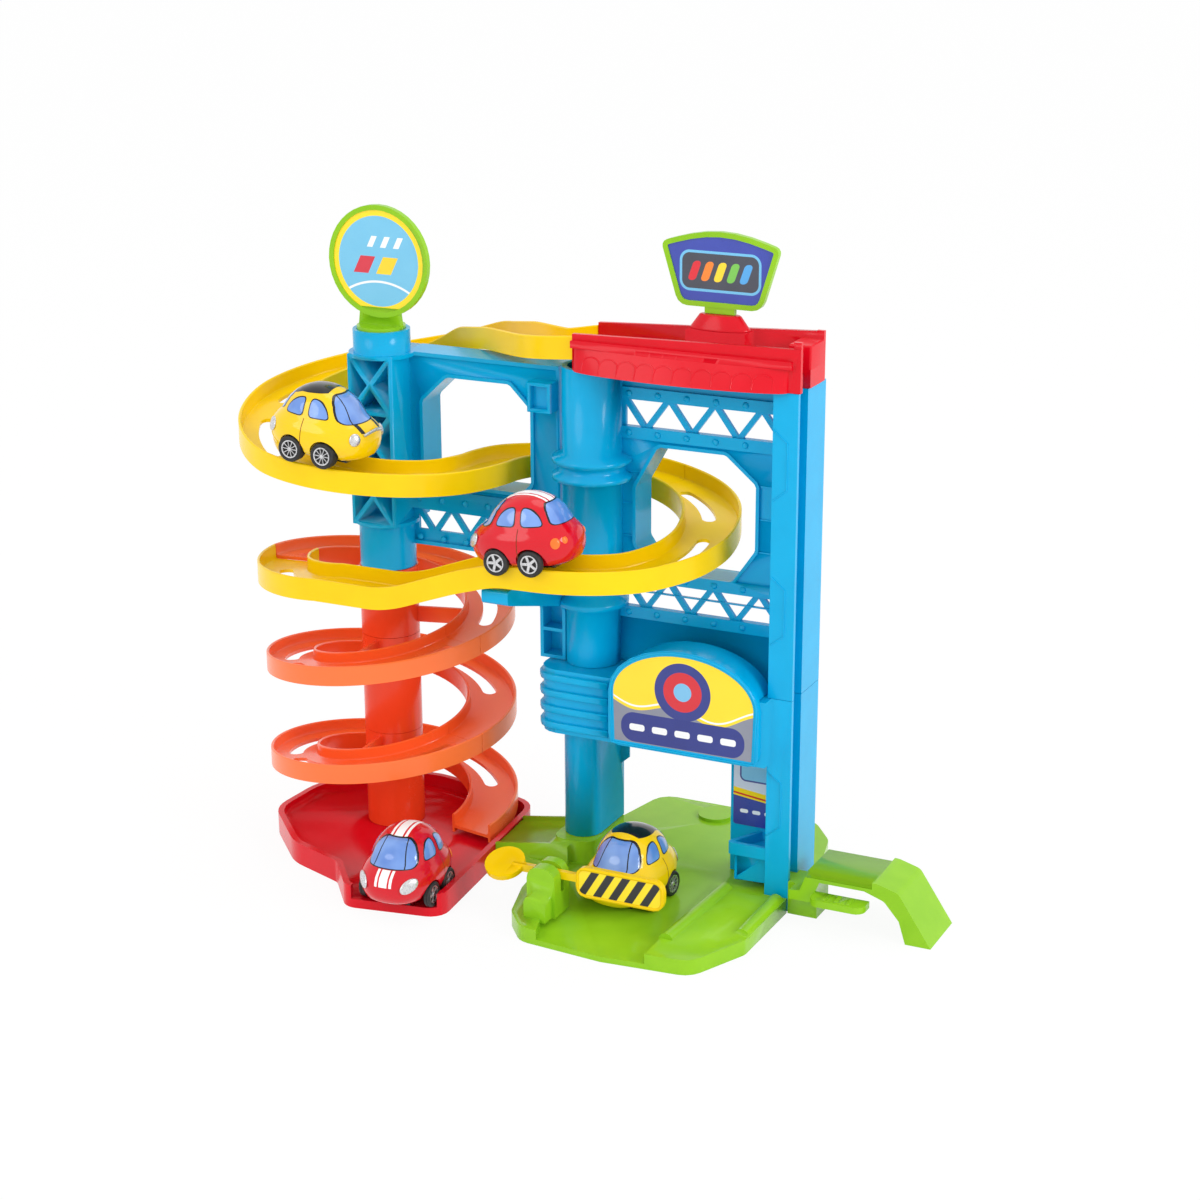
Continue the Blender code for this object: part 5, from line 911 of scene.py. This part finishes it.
tiles = []
tile_pitch = (CANOPY_WIDTH - 2 * TILE_MARGIN) / TILES
for index in range(TILES):
    left, half = CANOPY_LEFT + TILE_MARGIN + tile_pitch * index, tile_pitch / 2
    turns = [math.pi * step / 10 for step in range(1, 10)]
    path = [on_canopy(left, TILE_FOOT + step) for step in (0.0, 2.0, 4.0)]
    path += [on_canopy(left + half - half * math.cos(by), TILE_FOOT + TILE_SIDE + TILE_RISE * math.sin(by))
             for by in turns]
    path += [on_canopy(left + tile_pitch, TILE_FOOT + step) for step in (4.0, 2.0, 0.0)]
    tiles.append(bead(path, 0.55))
placed("canopy_tiles", together(tiles), RED, "roof")
print("tiles:", TILES)

# %% [markdown]
# ## Cars
# The four cars share one mould: a full, rounded hull, a domed cabin with windows, and wheels that fill
# their arches. A hull like this is a stack of rounded outlines, so one ring is extruded upwards and each
# new ring is given its own length, width and place. The same stack, grown by a tenth of a millimetre and
# kept only inside a window's outline, gives the panes, their dark seals, the roof panel and the stripes.

# %% The stack of outlines
CAR_LEVELS = (  # height, half length, half width, centre, squareness
    (4.6, 27.0, 15.0, 0.0, 2.4), (5.0, 31.5, 18.5, 0.0, 2.5), (7.4, 35.0, 21.6, 0.0, 2.5),
    (11.0, 36.8, 23.3, 0.0, 2.5), (15.0, 37.4, 23.9, 0.0, 2.5), (18.8, 36.9, 23.6, 0.0, 2.5),
    (22.0, 35.2, 22.7, -0.3, 2.5), (24.4, 32.6, 21.3, -1.0, 2.4), (26.0, 30.0, 20.2, -1.6, 2.4),
    (27.6, 28.0, 19.5, -2.0, 2.4), (31.0, 25.4, 18.6, -2.4, 2.4), (34.4, 22.4, 17.2, -2.6, 2.4),
    (37.6, 18.6, 14.9, -2.8, 2.3), (40.2, 14.2, 11.8, -3.0, 2.2), (42.0, 9.2, 7.9, -3.0, 2.1),
    (42.8, 4.2, 3.6, -3.0, 2.0))
CAR_SEGMENTS = 64
CAR_SIZE = Matrix.Diagonal((0.94, 1.04, 1.09, 1.0))  # the whole shell, grown over its wheels


def car_stack(grow=0.0):
    """The closed skin of hull and cabin, grown outwards by some millimetres."""
    shape = bmesh.new()
    bmesh.ops.create_circle(shape, cap_ends=False, segments=CAR_SEGMENTS, radius=1.0)
    turns = [math.atan2(vert.co.y, vert.co.x) for vert in shape.verts]
    corners, ring = list(shape.verts), list(shape.edges)
    lifts = [-grow] + [0.0] * (len(CAR_LEVELS) - 2) + [grow]
    for (height, length, width, centre, power), lift in zip(CAR_LEVELS, lifts):
        if height > CAR_LEVELS[0][0]:
            corners, ring = next_ring(shape, ring)
        for vert, by in zip(corners, turns):
            cosine, sine = math.cos(by), math.sin(by)
            reach = (abs(cosine) ** power + abs(sine) ** power) ** (-1 / power)
            vert.co = (((length + grow) * reach * cosine + centre) * MM, (width + grow) * reach * sine * MM,
                       (height + lift) * MM)
    return capped(shape)


def drum(x, y, z, radius, length, segments=48):
    """A cylinder lying along Y, in millimetres."""
    shape = bmesh.new()
    bmesh.ops.create_cone(shape, cap_ends=True, segments=segments, radius1=radius * MM, radius2=radius * MM,
                          depth=length * MM)
    return moved(shape, shift(x, y, z) @ turn(90.0, "X"))


WHEEL_RADIUS, HALF_BASE = 8.2, 11.5
ARCH_RADIUS, ARCH_LENGTH, ARCH_OUT = 9.3, 22.0, 26.0
arches = [drum(x, y, WHEEL_RADIUS, ARCH_RADIUS, ARCH_LENGTH)
          for x in (-HALF_BASE, HALF_BASE) for y in (-ARCH_OUT, ARCH_OUT)]
hull_shape = solved(moved(car_stack(), CAR_SIZE), arches, "DIFFERENCE")
print("hull faces:", len(hull_shape.faces))

# %% [markdown]
# A window is a rounded outline that is pushed through the car like a biscuit cutter. The grown skin that
# lies inside the cutter is the pane, and a slightly larger cutter gives the dark seal round it.

# %% Windows cut from the skin
SIDE_FRONT = ((-1.5, 27.8), (12.5, 27.8), (9.6, 33.0), (4.5, 36.6), (-1.5, 37.4))
SIDE_REAR = ((-20.5, 27.8), (-6.5, 27.8), (-6.5, 37.4), (-12.0, 36.4), (-17.5, 33.0))
SCREEN = ((-15.4, 26.0), (15.4, 26.0), (14.4, 32.0), (11.4, 37.0), (7.2, 39.6), (-7.2, 39.6),
          (-11.4, 37.0), (-14.4, 32.0))
BACK_LIGHT = ((-13.5, 27.6), (13.5, 27.6), (11.0, 35.0), (7.5, 38.4), (-7.5, 38.4), (-11.0, 35.0))
SIDES, FRONT_END, BACK_END = ((-28.0, -10.0), (10.0, 28.0)), (5.0, 42.0), (-42.0, -12.0)  # cutters
SIDE_EASE, END_EASE = 2.8, 3.4


def spread(points, distance):
    """The outline moved outwards from its own middle by a distance."""
    centre = sum((Vector(point) for point in points), Vector((0, 0))) / len(points)
    return [tuple(Vector(point) + (Vector(point) - centre).normalized() * distance) for point in points]


def skins(grow, prisms):
    """The part of the grown skin that lies inside each prism."""
    return together([solved(cutter, [car_stack(grow)], "INTERSECT") for cutter in prisms])


def windows(skin, grow):
    """All the windows, as skin of a thickness inside outlines grown by some millimetres."""
    sides = [prism(spread(eased(outline, SIDE_EASE), grow), *side)
             for outline in (SIDE_FRONT, SIDE_REAR) for side in SIDES]
    ends = [prism(spread(eased(outline, END_EASE), grow), *end, "X")
            for outline, end in ((SCREEN, FRONT_END), (BACK_LIGHT, BACK_END))]
    return skins(skin, sides + ends)


seal_shape, pane_shape = windows(0.10, 0.8), windows(0.22, 0.0)
print("pane faces:", len(pane_shape.faces))

# %% [markdown]
# The wheels of the yellow cars are wide and have wire spokes, and those of the red cars are narrow and
# have star spokes. Tyre and rim are profiles spun about an upright axis, then laid on their side.

# %% Wheels
TYRE_OUT, NARROW_IN, WIDE_IN = 24.8, 20.6, 17.6
AXLE_RADIUS, AXLE_LENGTH = 1.2, 42.0
RIM = ((4.9, TYRE_OUT - 0.4), (5.7, TYRE_OUT - 0.3), (5.7, TYRE_OUT - 1.3), (4.9, TYRE_OUT - 1.4))
WHEEL_STEPS = 48


def wheel_ring(profile, side):
    """A profile of (radius, distance from the car's middle), spun about the axle."""
    return moved(spun(profile, WHEEL_STEPS), turn(-90.0 * side, "X"))


def tyre_profile(inner):
    """The tyre's profile from its bright hub to its tread; the inner side's place sets its width."""
    return [(5.6, TYRE_OUT - 0.9), (6.2, TYRE_OUT - 0.1), (7.3, TYRE_OUT), (7.9, TYRE_OUT - 0.4),
            (WHEEL_RADIUS, TYRE_OUT - 1.0), (WHEEL_RADIUS, TYRE_OUT - 1.8), (7.9, TYRE_OUT - 2.1),
            (WHEEL_RADIUS, TYRE_OUT - 2.4), (WHEEL_RADIUS, inner + 0.6), (7.7, inner),
            (AXLE_RADIUS, inner), (AXLE_RADIUS, TYRE_OUT - 1.6), (5.4, TYRE_OUT - 1.6)]


def tyre_pair(inner):
    tyres = [wheel_ring(tyre_profile(inner), side) for side in (-1, 1)]
    return together(tyres + [drum(0, 0, 0, AXLE_RADIUS, AXLE_LENGTH, 24)])


def hub_pair(count, thick):
    """Two bright rims, each with a round boss and spokes with eased edges."""
    parts = []
    for side in (-1, 1):
        boss = bmesh.new()
        bmesh.ops.create_cone(boss, cap_ends=True, segments=24, radius1=1.6 * MM, radius2=1.2 * MM,
                              depth=1.0 * MM)
        parts += [wheel_ring(RIM, side),
                  moved(boss, shift(0, side * (TYRE_OUT - 0.9), 0) @ turn(-90.0 * side, "X"))]
        for index in range(count):
            spoke = bmesh.new()
            bmesh.ops.create_cube(spoke, size=1.0)
            moved(spoke, Matrix.Diagonal((4.3 * MM, 0.8 * MM, thick * MM, 1.0)))
            bmesh.ops.bevel(spoke, geom=spoke.edges[:], offset=0.12 * MM, affect="EDGES", segments=2,
                            profile=0.5, material=-1)
            outward = shift(3.1, side * (TYRE_OUT - 1.0), 0)
            parts.append(moved(spoke, turn(360.0 * index / count, "Y") @ outward))
    return together(parts)


narrow_tyres, wide_tyres = tyre_pair(NARROW_IN), tyre_pair(WIDE_IN)
wire_hubs, star_hubs = hub_pair(10, 0.5), hub_pair(5, 1.7)
print("tyre faces:", len(narrow_tyres.faces))

# %% [markdown]
# The lamps are flattened domes that sit on the hull's end and face the way it faces there. Everything
# printed on a car is a piece of the grown skin.

# %% Lamps, bars, roof panel and stripes
ROOF_PANEL = ((6.0, 40.4), (-12.0, 39.2), (-20.0, 36.8), (-27.0, 30.0), (-34.0, 34.0), (-27.0, 46.0),
              (6.0, 46.0))
STRIPES = ((-5.6, -3.9), (-2.7, 2.7), (3.9, 5.6))
HOOD_MARKS = ((-10.4, -7.6), (7.6, 10.4))
DOOR_LINE = ((-4.8, 9.0), (-4.3, 9.0), (-4.3, 26.4), (-4.8, 26.4))
SCREEN_LINE = ((10.6, 25.6), (10.0, 25.6), (6.6, 39.8), (7.2, 39.8))
PRINT = 0.07
LAMP_LENGTH, LAMP_WIDTH = 37.0, 23.5  # the oval that the lamps face out of
LAMP_SINK, LAMP_TIP = 0.3, 14.0
ROUND_LAMP, ALMOND_LAMP = (15.0, 18.6, (1.6, 3.7, 3.7)), (15.2, 18.0, (1.3, 6.8, 3.7), 24.0)
BIG_TAIL, SMALL_TAIL = (17.2, 18.4, (0.9, 3.1, 3.1)), (12.4, 19.4, (0.9, 2.0, 2.0))
WHITE_TAIL = (15.6, 18.0, (1.1, 5.4, 4.2))
ON_NOSE, ON_ROOF, ON_HOOD = (12.0, 42.0, 17.0, 25.4), (-42.0, 12.0, 38.6, 46.0), (14.0, 42.0, 21.5, 25.6)


def hull_end(y, z):
    """The hull's half length at a distance from the middle and a height, in millimetres."""
    for (low, length0, width0, _, power), (high, length1, width1, _, _) in zip(CAR_LEVELS, CAR_LEVELS[1:]):
        if low <= z <= high:
            share = (z - low) / (high - low)
            length, width = length0 + (length1 - length0) * share, width0 + (width1 - width0) * share
            return length * (1 - (abs(y) / width) ** power) ** (1 / power)
    return 0.0


def lamps(end, y, z, sizes, tilt=0.0):
    """A pair of flattened domes on the nose (end 1) or the tail (-1)."""
    pair = []
    for across in (-y, y):
        x = end * (hull_end(across, z) - LAMP_SINK)
        shape = bmesh.new()
        bmesh.ops.create_uvsphere(shape, u_segments=28, v_segments=18, radius=1.0 * MM)
        outward = math.atan2(math.copysign((abs(across) / LAMP_WIDTH) ** 1.5 / LAMP_WIDTH, across),
                             end * (abs(x) / LAMP_LENGTH) ** 1.5 / LAMP_LENGTH)
        pose = turn(math.degrees(outward), "Z") @ turn(-LAMP_TIP, "Y")
        pose = shift(x, across, z) @ pose @ turn(math.copysign(tilt, across), "X")
        pair.append(moved(shape, pose @ Matrix.Diagonal((*sizes, 1.0))))
    return pair


def band(outline, low, high, grow=PRINT):
    """A print on the skin: the part of it inside an outline of (across, up), between two lengths."""
    return skins(grow, [prism(outline, low, high, "X")])


def strips(edges, low, high, foot, top):
    return [band([(near, foot), (far, foot), (far, top), (near, top)], low, high) for near, far in edges]


round_lamps, almond_lamps = together(lamps(1, *ROUND_LAMP)), together(lamps(1, *ALMOND_LAMP))
round_tails = together(lamps(-1, *BIG_TAIL) + lamps(-1, *SMALL_TAIL))
white_tails = together(lamps(-1, *WHITE_TAIL))
grille_bar = bead([(37.2 - 0.022 * y * y, y, 20.4 + 2.2 * math.cos(y / 7.0)) for y in range(-10, 11)], 0.9)
panel_shape = skins(PRINT, [prism(ROOF_PANEL, -28.0, 28.0)])
stripe_shape = together(strips(STRIPES, *ON_NOSE) + strips(STRIPES, *ON_ROOF))
hood_marks = together(strips(HOOD_MARKS, *ON_HOOD))
screen_lines = together([band([(side * y, z) for y, z in SCREEN_LINE], *FRONT_END, 0.32)
                         for side in (-1, 1)])
door_lines = skins(0.05, [prism(DOOR_LINE, *side) for side in SIDES])
print("stripe faces:", len(stripe_shape.faces))

# %% [markdown]
# Each car stands at its place on the track, the tray or the driveway, turned to its course and dipped with
# the slope. Its shell rides on the car's body and its wheels on their own axles.

# %% Put the four cars in their places
CARS = (("yellow_car", True, (-149.7, -73.7, 277.7), 0.2, 5.6),
        ("red_car", False, (-5.0, -75.0, 225.4), 180.0, 5.0),
        ("racing_car", False, (-80.5, -107.0, 6.3), -86.0, 0.0),
        ("striped_car", True, (51.0, -51.5, 7.8), -94.0, 2.8))
EVERY_TRIM = (("seals", seal_shape, BLACK, "car_black"), ("screen_lines", screen_lines, BLACK, "car_black"),
              ("door_lines", door_lines, SHADE, None))
YELLOW_TRIM = (("roof_panel", panel_shape, BLACK, "car_black"),
               ("hood_marks", hood_marks, BLACK, "car_black"), ("headlamps", round_lamps, BRIGHT, None),
               ("grille_bar", grille_bar, BRIGHT, None), ("tail_lamps", white_tails, BRIGHT, None))
RED_TRIM = (("stripes", stripe_shape, WHITE, None), ("headlamps", almond_lamps, BRIGHT, None),
            ("tail_lamps", round_tails, AMBER, None))
YELLOW_LOOK = (CAR_YELLOW, "car_yellow", EVERY_TRIM + YELLOW_TRIM, wide_tyres, wire_hubs)
RED_LOOK = (CAR_RED, "car_red", EVERY_TRIM + RED_TRIM, narrow_tyres, star_hubs)

for car, is_yellow, place, bearing, dip in CARS:
    finish, body_slot, trims, tyres, hubs = YELLOW_LOOK if is_yellow else RED_LOOK
    stand = shift(*place) @ turn(bearing, "Z") @ turn(dip, "Y")
    placed(car + "_hull", moved(hull_shape.copy(), stand), finish, car + "_body", replaces=True)
    placed(car + "_panes", moved(pane_shape.copy(), stand @ CAR_SIZE), WINDOW, car + "_windows",
           replaces=True)
    for label, shape, material, slot in trims:
        placed(f"{car}_{label}", moved(shape.copy(), stand @ CAR_SIZE), material, car + "_body")
    recoated(car + "_chassis", BLACK)
    for end, reach in (("front", HALF_BASE), ("rear", -HALF_BASE)):
        node = f"{car}_{end}_wheels"
        axle = stand @ shift(reach, 0, WHEEL_RADIUS)
        placed(node + "_tyres", moved(tyres.copy(), axle), RUBBER, node, replaces=True)
        placed(node + "_hubs", moved(hubs.copy(), axle), BRIGHT, node)
print("cars:", len(CARS))

# %% [markdown]
# ## Printed faces
# The signs and the barrier's board carry printed labels. Their designs are plain: bands, bars, discs and
# dashes in the toy's colours. Each one is a thin sheet on the board's own front face, and its colours are
# masks over distances in millimetres, so every edge in the print is sharp.

# %% A print laid down ink by ink
class Print(Paint):
    """A printed film: a ground colour, over which inks are laid one by one."""

    def __init__(self, name, low, high, centre=(0, 0, 0)):
        super().__init__(name)
        self.x, _, self.z = self.axes(centre)
        self.drift = self.noise(60.0)
        self.colour = self.mix(self.drift, low, high)

    def lay(self, mask, low, high=None):
        """Lays an ink where the mask is 1; a second shade lets it drift."""
        self.colour = self.mix(mask, self.colour, self.mix(self.drift, low, high) if high else low)

    def reach(self, x=0.0, z=0.0):
        """The distance from a point in millimetres."""
        across, up = self.x - x, self.z - z
        return (across * across + up * up) ** 0.5

    def film(self):
        """The material: a gloss print with the faint texture of its film."""
        grain = self.noise(800.0)
        return self.finish(self.colour, 0.3 + (grain - 0.5) * 0.12, grain, 0.01 * MM, IOR=1.5,
                           Coat_Weight=0.3, Coat_Roughness=0.15)


def pill(x, z, centre, half, corner):
    """The distance outside a rounded box of a centre and half sizes in millimetres."""
    across = (abs(x - centre[0]) - (half[0] - corner)).larger(0.0)
    up = (abs(z - centre[1]) - (half[1] - corner)).larger(0.0)
    return (across * across + up * up) ** 0.5 - corner


SHEET = 0.12


def label_sheet(name, node, face_y, finish):
    """The front face of a board at a depth, lifted forwards as a thin printed sheet."""
    shape = merged(node)
    away = [face for face in shape.faces
            if face.normal.y > -0.9 or abs(face.calc_center_median().y - face_y * MM) > 0.2 * MM]
    bmesh.ops.delete(shape, geom=away, context="FACES")
    fronts = vertices(bmesh.ops.extrude_face_region(shape, geom=list(shape.faces))["geom"])
    bmesh.ops.translate(shape, vec=(0, -SHEET * MM, 0), verts=fronts)
    placed(name, facing_out(shape), finish, node)


print("print helpers ready")

# %% Labels of the round sign and the roof sign
ROUND_CENTRE = (LEFT_COLUMN, 0, 387.8 * MM)
ROUND_BARS = (  # centre, half width, foot, top, two shades
    (-9.0, 5.4, -8.0, 3.0, (206, 40, 60), (216, 50, 70)),
    (7.5, 5.4, -8.0, 3.0, (248, 206, 24), (252, 214, 40)),
    (-10.5, 2.0, 9.0, 16.0, (244, 244, 244), (248, 248, 248)),
    (-1.0, 2.0, 9.0, 16.0, (244, 244, 244), (248, 248, 248)),
    (8.5, 2.0, 9.0, 16.0, (244, 244, 244), (248, 248, 248)))
ROOF_LABEL_CENTRE = (81.5, 397.5)
ROOF_BARS = (((216, 28, 44), (224, 36, 52)), ((246, 128, 30), (250, 138, 42)),
             ((252, 214, 30), (254, 220, 46)), ((110, 190, 70), (122, 200, 82)),
             ((70, 160, 226), (84, 170, 232)))


def round_print():
    """Slanted bars over an arc of ground, inside a yellow ring."""
    sheet = Print("round_label", (108, 188, 226), (120, 196, 230), ROUND_CENTRE)
    lean = sheet.x - sheet.z * 0.5
    for centre, width, foot, top, low, high in ROUND_BARS:
        sheet.lay(abs(lean - centre).below(width).both(sheet.z.within(foot, top)), low, high)
    sheet.lay(abs(sheet.reach(0.0, -58.0) - 45.0).below(0.7), (244, 244, 244))
    sheet.lay(sheet.reach().above(29.0), (255, 222, 20))
    return sheet.film()


def roof_print():
    """Five slanted bars on a dark panel."""
    sheet = Print("roof_label", (46, 62, 160), (58, 76, 178))
    panel = pill(sheet.x, sheet.z, ROOF_LABEL_CENTRE, (25.0, 10.8), 5.0)
    sheet.lay(panel.below(1.6), (110, 190, 232))
    sheet.lay(panel.below(0.0), (58, 62, 74), (70, 74, 88))
    lean = sheet.x - (sheet.z - ROOF_LABEL_CENTRE[1]) * 0.35
    for index, (low, high) in enumerate(ROOF_BARS):
        bar = pill(lean, sheet.z, (64.7 + 8.4 * index, ROOF_LABEL_CENTRE[1]), (2.6, 6.0), 2.3)
        sheet.lay(bar.below(0.0), low, high)
    return sheet.film()


label_sheet("round_label", "round_sign", -1.0, round_print())
label_sheet("roof_label", "roof_sign", 9.0, roof_print())
print("bars:", len(ROUND_BARS) + len(ROOF_BARS))

# %% The entrance sign's label
EMBLEM, DASHES = (76.9, 142.0), (76.9, 114.0)
EMBLEM_RINGS = ((19.0, (34, 46, 128), (44, 58, 142)), (13.0, (206, 26, 40), (216, 36, 50)),
                (6.0, (110, 180, 226), (126, 192, 232)))
SIGN_FOOT, LABEL_INSET, RIM_INSET = 100.0, 3.6, 1.6
LABEL_BACK, LABEL_FRONT, RIM_FRONT = -31.4, -32.5, -32.3


def entrance_print():
    """A ring over rolling hills, and a strip of dashes below."""
    sheet = Print("entrance_label", (250, 214, 20), (254, 222, 36))
    hills = (sheet.x * 0.11).sine() * 4.0 + (sheet.x * 0.043 + 1.0).sine() * 3.0 + 129.0
    sheet.lay(sheet.z.below(hills), (126, 130, 146), (140, 144, 160))
    sheet.lay(abs(sheet.z - hills - 2.6).below(0.6), (246, 246, 246))
    for reach, low, high in EMBLEM_RINGS:
        sheet.lay(sheet.reach(*EMBLEM).below(reach), low, high)
    sheet.lay(pill(sheet.x, sheet.z, DASHES, (42.0, 9.8), 9.0).below(0.0), (30, 42, 124), (40, 54, 140))
    for index in range(-2, 3):
        dash = pill(sheet.x, sheet.z, (DASHES[0] + 15.5 * index, DASHES[1]), (5.2, 2.2), 1.6)
        sheet.lay(dash.below(0.0), (240, 242, 246))
    return sheet.film()


placed("entrance_sign_moulding", merged("entrance_sign"), BLUE, "entrance_sign",
       replaces=True)
placed("entrance_label", prism(arch(LABEL_INSET, SIGN_FOOT + LABEL_INSET), LABEL_FRONT, LABEL_BACK),
       entrance_print(), "entrance_sign")
sign_rim = [(x, RIM_FRONT, z) for x, z in arch(RIM_INSET, SIGN_FOOT + RIM_INSET)]
placed("entrance_rim", bead(sign_rim + sign_rim[:1], 0.8), BLUE, "entrance_sign")
print("entrance label ready")

# %% [markdown]
# The booth's panel keeps its solid and gets a print of bands, a window and dashes. The barrier's stripes
# are a thin sheet inside a raised rim that follows the board's outline.

# %% The booth's panel and the barrier's stripes
BOOTH_MIDDLE = 112.0
BOARD_LEFT, BOARD_RIGHT, BOARD_FOOT, BOARD_TOP = 33.0, 93.0, 21.5, 42.0
BOARD_CORNER, BOARD_FACE = 7.0, -94.8


def booth_print():
    sheet = Print("booth_label", (206, 212, 234), (216, 222, 242))
    slope = sheet.z + (sheet.x - BOOTH_MIDDLE) * 0.12
    sheet.lay(slope.below(67.0), (252, 216, 24))
    sheet.lay(slope.within(62.6, 63.8), (214, 30, 44))
    sheet.lay(slope.below(61.4), (38, 56, 150), (48, 68, 168))
    window = pill(sheet.x, sheet.z, (BOOTH_MIDDLE, 82.5), (10.5, 8.0), 3.0)
    sheet.lay(window.below(1.1), (60, 70, 150))
    sheet.lay(window.below(0.0), (120, 190, 232), (136, 202, 238))
    for side in (-1, 0, 1):
        dash = pill(sheet.x, sheet.z, (BOOTH_MIDDLE + 8.4 * side, 53.0), (2.8, 1.3), 1.2)
        sheet.lay(dash.below(0.0), (236, 240, 248))
    return sheet.film()


def barrier_print():
    sheet = Print("barrier_label", (255, 220, 0), (255, 228, 6))
    middle_x, middle_z = (BOARD_LEFT + BOARD_RIGHT) / 2, (BOARD_FOOT + BOARD_TOP) / 2 - 0.05
    slant = sheet.x - middle_x - (sheet.z - middle_z) * 0.6
    for index in range(-2, 3):
        sheet.lay(abs(slant - 10.6 * index).below(2.8), (16, 16, 20), (28, 28, 34))
    return sheet.film()


def board_outline(inset):
    """The board's rounded outline, drawn in by some millimetres."""
    left, right, foot, top = BOARD_LEFT + inset, BOARD_RIGHT - inset, BOARD_FOOT + inset, BOARD_TOP - inset
    return eased([(left, foot), (right, foot), (right, top), (left, top)], BOARD_CORNER - inset, 8)


recoated("booth_panel", booth_print())
placed("barrier_stripes", prism(board_outline(2.4), BOARD_FACE - 0.15, BOARD_FACE + 0.3), barrier_print(),
       "barrier_arm")
board_rim = [(x, BOARD_FACE, z) for x, z in board_outline(1.2)]
placed("barrier_rim", bead(board_rim + board_rim[:1], 0.7), YELLOW, "barrier_arm")
print("labels ready")

# %% [markdown]
# ## Studio
# The toy stands on a plain white sweep under soft lamps. The floor keeps the shadow, and the camera sees
# white beyond it.

# %% Floor, sky and lamps
FLOOR_GLOW, SKY = 0.93, 0.98
LAMPS = (("key", (2.1, -0.5, 1.1), 0.8, 16.0), ("fill", (-1.0, -1.7, 1.2), 1.2, 7.5),
         ("top", (0.1, 0.3, 2.0), 1.0, 4.0))  # place, size, watts
LAMP_AIM = Vector((0, 0, 0.2))


def sweep_white():
    """A pale floor that the camera and reflections see as nearly white."""
    paint = Paint("studio_floor")
    rays = paint.node("LightPath")
    seen = Value(paint, rays.outputs["Is Camera Ray"]).larger(Value(paint, rays.outputs["Is Glossy Ray"]))
    seen = seen.larger(Value(paint, rays.outputs["Is Transmission Ray"]))
    paint.finish(paint.mix(paint.noise(120.0), (246, 246, 246), (250, 250, 250)), 0.75)
    glow = paint.node("Emission", None, {"Color": (1, 1, 1, 1), "Strength": 1.0})
    blend = paint.node("MixShader", None, {0: seen * FLOOR_GLOW, 1: Value(paint, paint.shader.outputs[0]),
                                           2: Value(paint, glow.outputs[0])})
    output = paint.tree.nodes["Material Output"]
    paint.tree.links.new(blend.outputs[0], output.inputs["Surface"])
    return paint.material


floor_shape = bmesh.new()
bmesh.ops.create_grid(floor_shape, x_segments=4, y_segments=4, size=20.0)
floor_mesh = bpy.data.meshes.new("floor")
floor_shape.to_mesh(floor_mesh)
floor_shape.free()
floor_mesh.materials.append(sweep_white())
floor = bpy.data.objects.new("floor", floor_mesh)
bpy.context.scene.collection.objects.link(floor)

world = bpy.data.worlds.new("studio")
world.use_nodes = True
bpy.context.scene.world = world
nodes, links = world.node_tree.nodes, world.node_tree.links
choice = nodes.new("ShaderNodeMixShader")
links.new(nodes.new("ShaderNodeLightPath").outputs["Is Camera Ray"], choice.inputs[0])
for socket, sky, strength in ((1, nodes["Background"], SKY), (2, nodes.new("ShaderNodeBackground"), 1.0)):
    sky.inputs["Color"].default_value = (1, 1, 1, 1)
    sky.inputs["Strength"].default_value = strength
    links.new(sky.outputs[0], choice.inputs[socket])
links.new(choice.outputs[0], nodes["World Output"].inputs["Surface"])

for name, place, size, watts in LAMPS:
    light = bpy.data.lights.new(name, "AREA")
    light.shape = "DISK"
    light.size = size
    light.energy = watts
    lamp = bpy.data.objects.new(name, light)
    bpy.context.scene.collection.objects.link(lamp)
    lamp.location = place
    lamp.rotation_euler = (LAMP_AIM - Vector(place)).to_track_quat("-Z", "Y").to_euler()
print("lamps:", len(LAMPS))
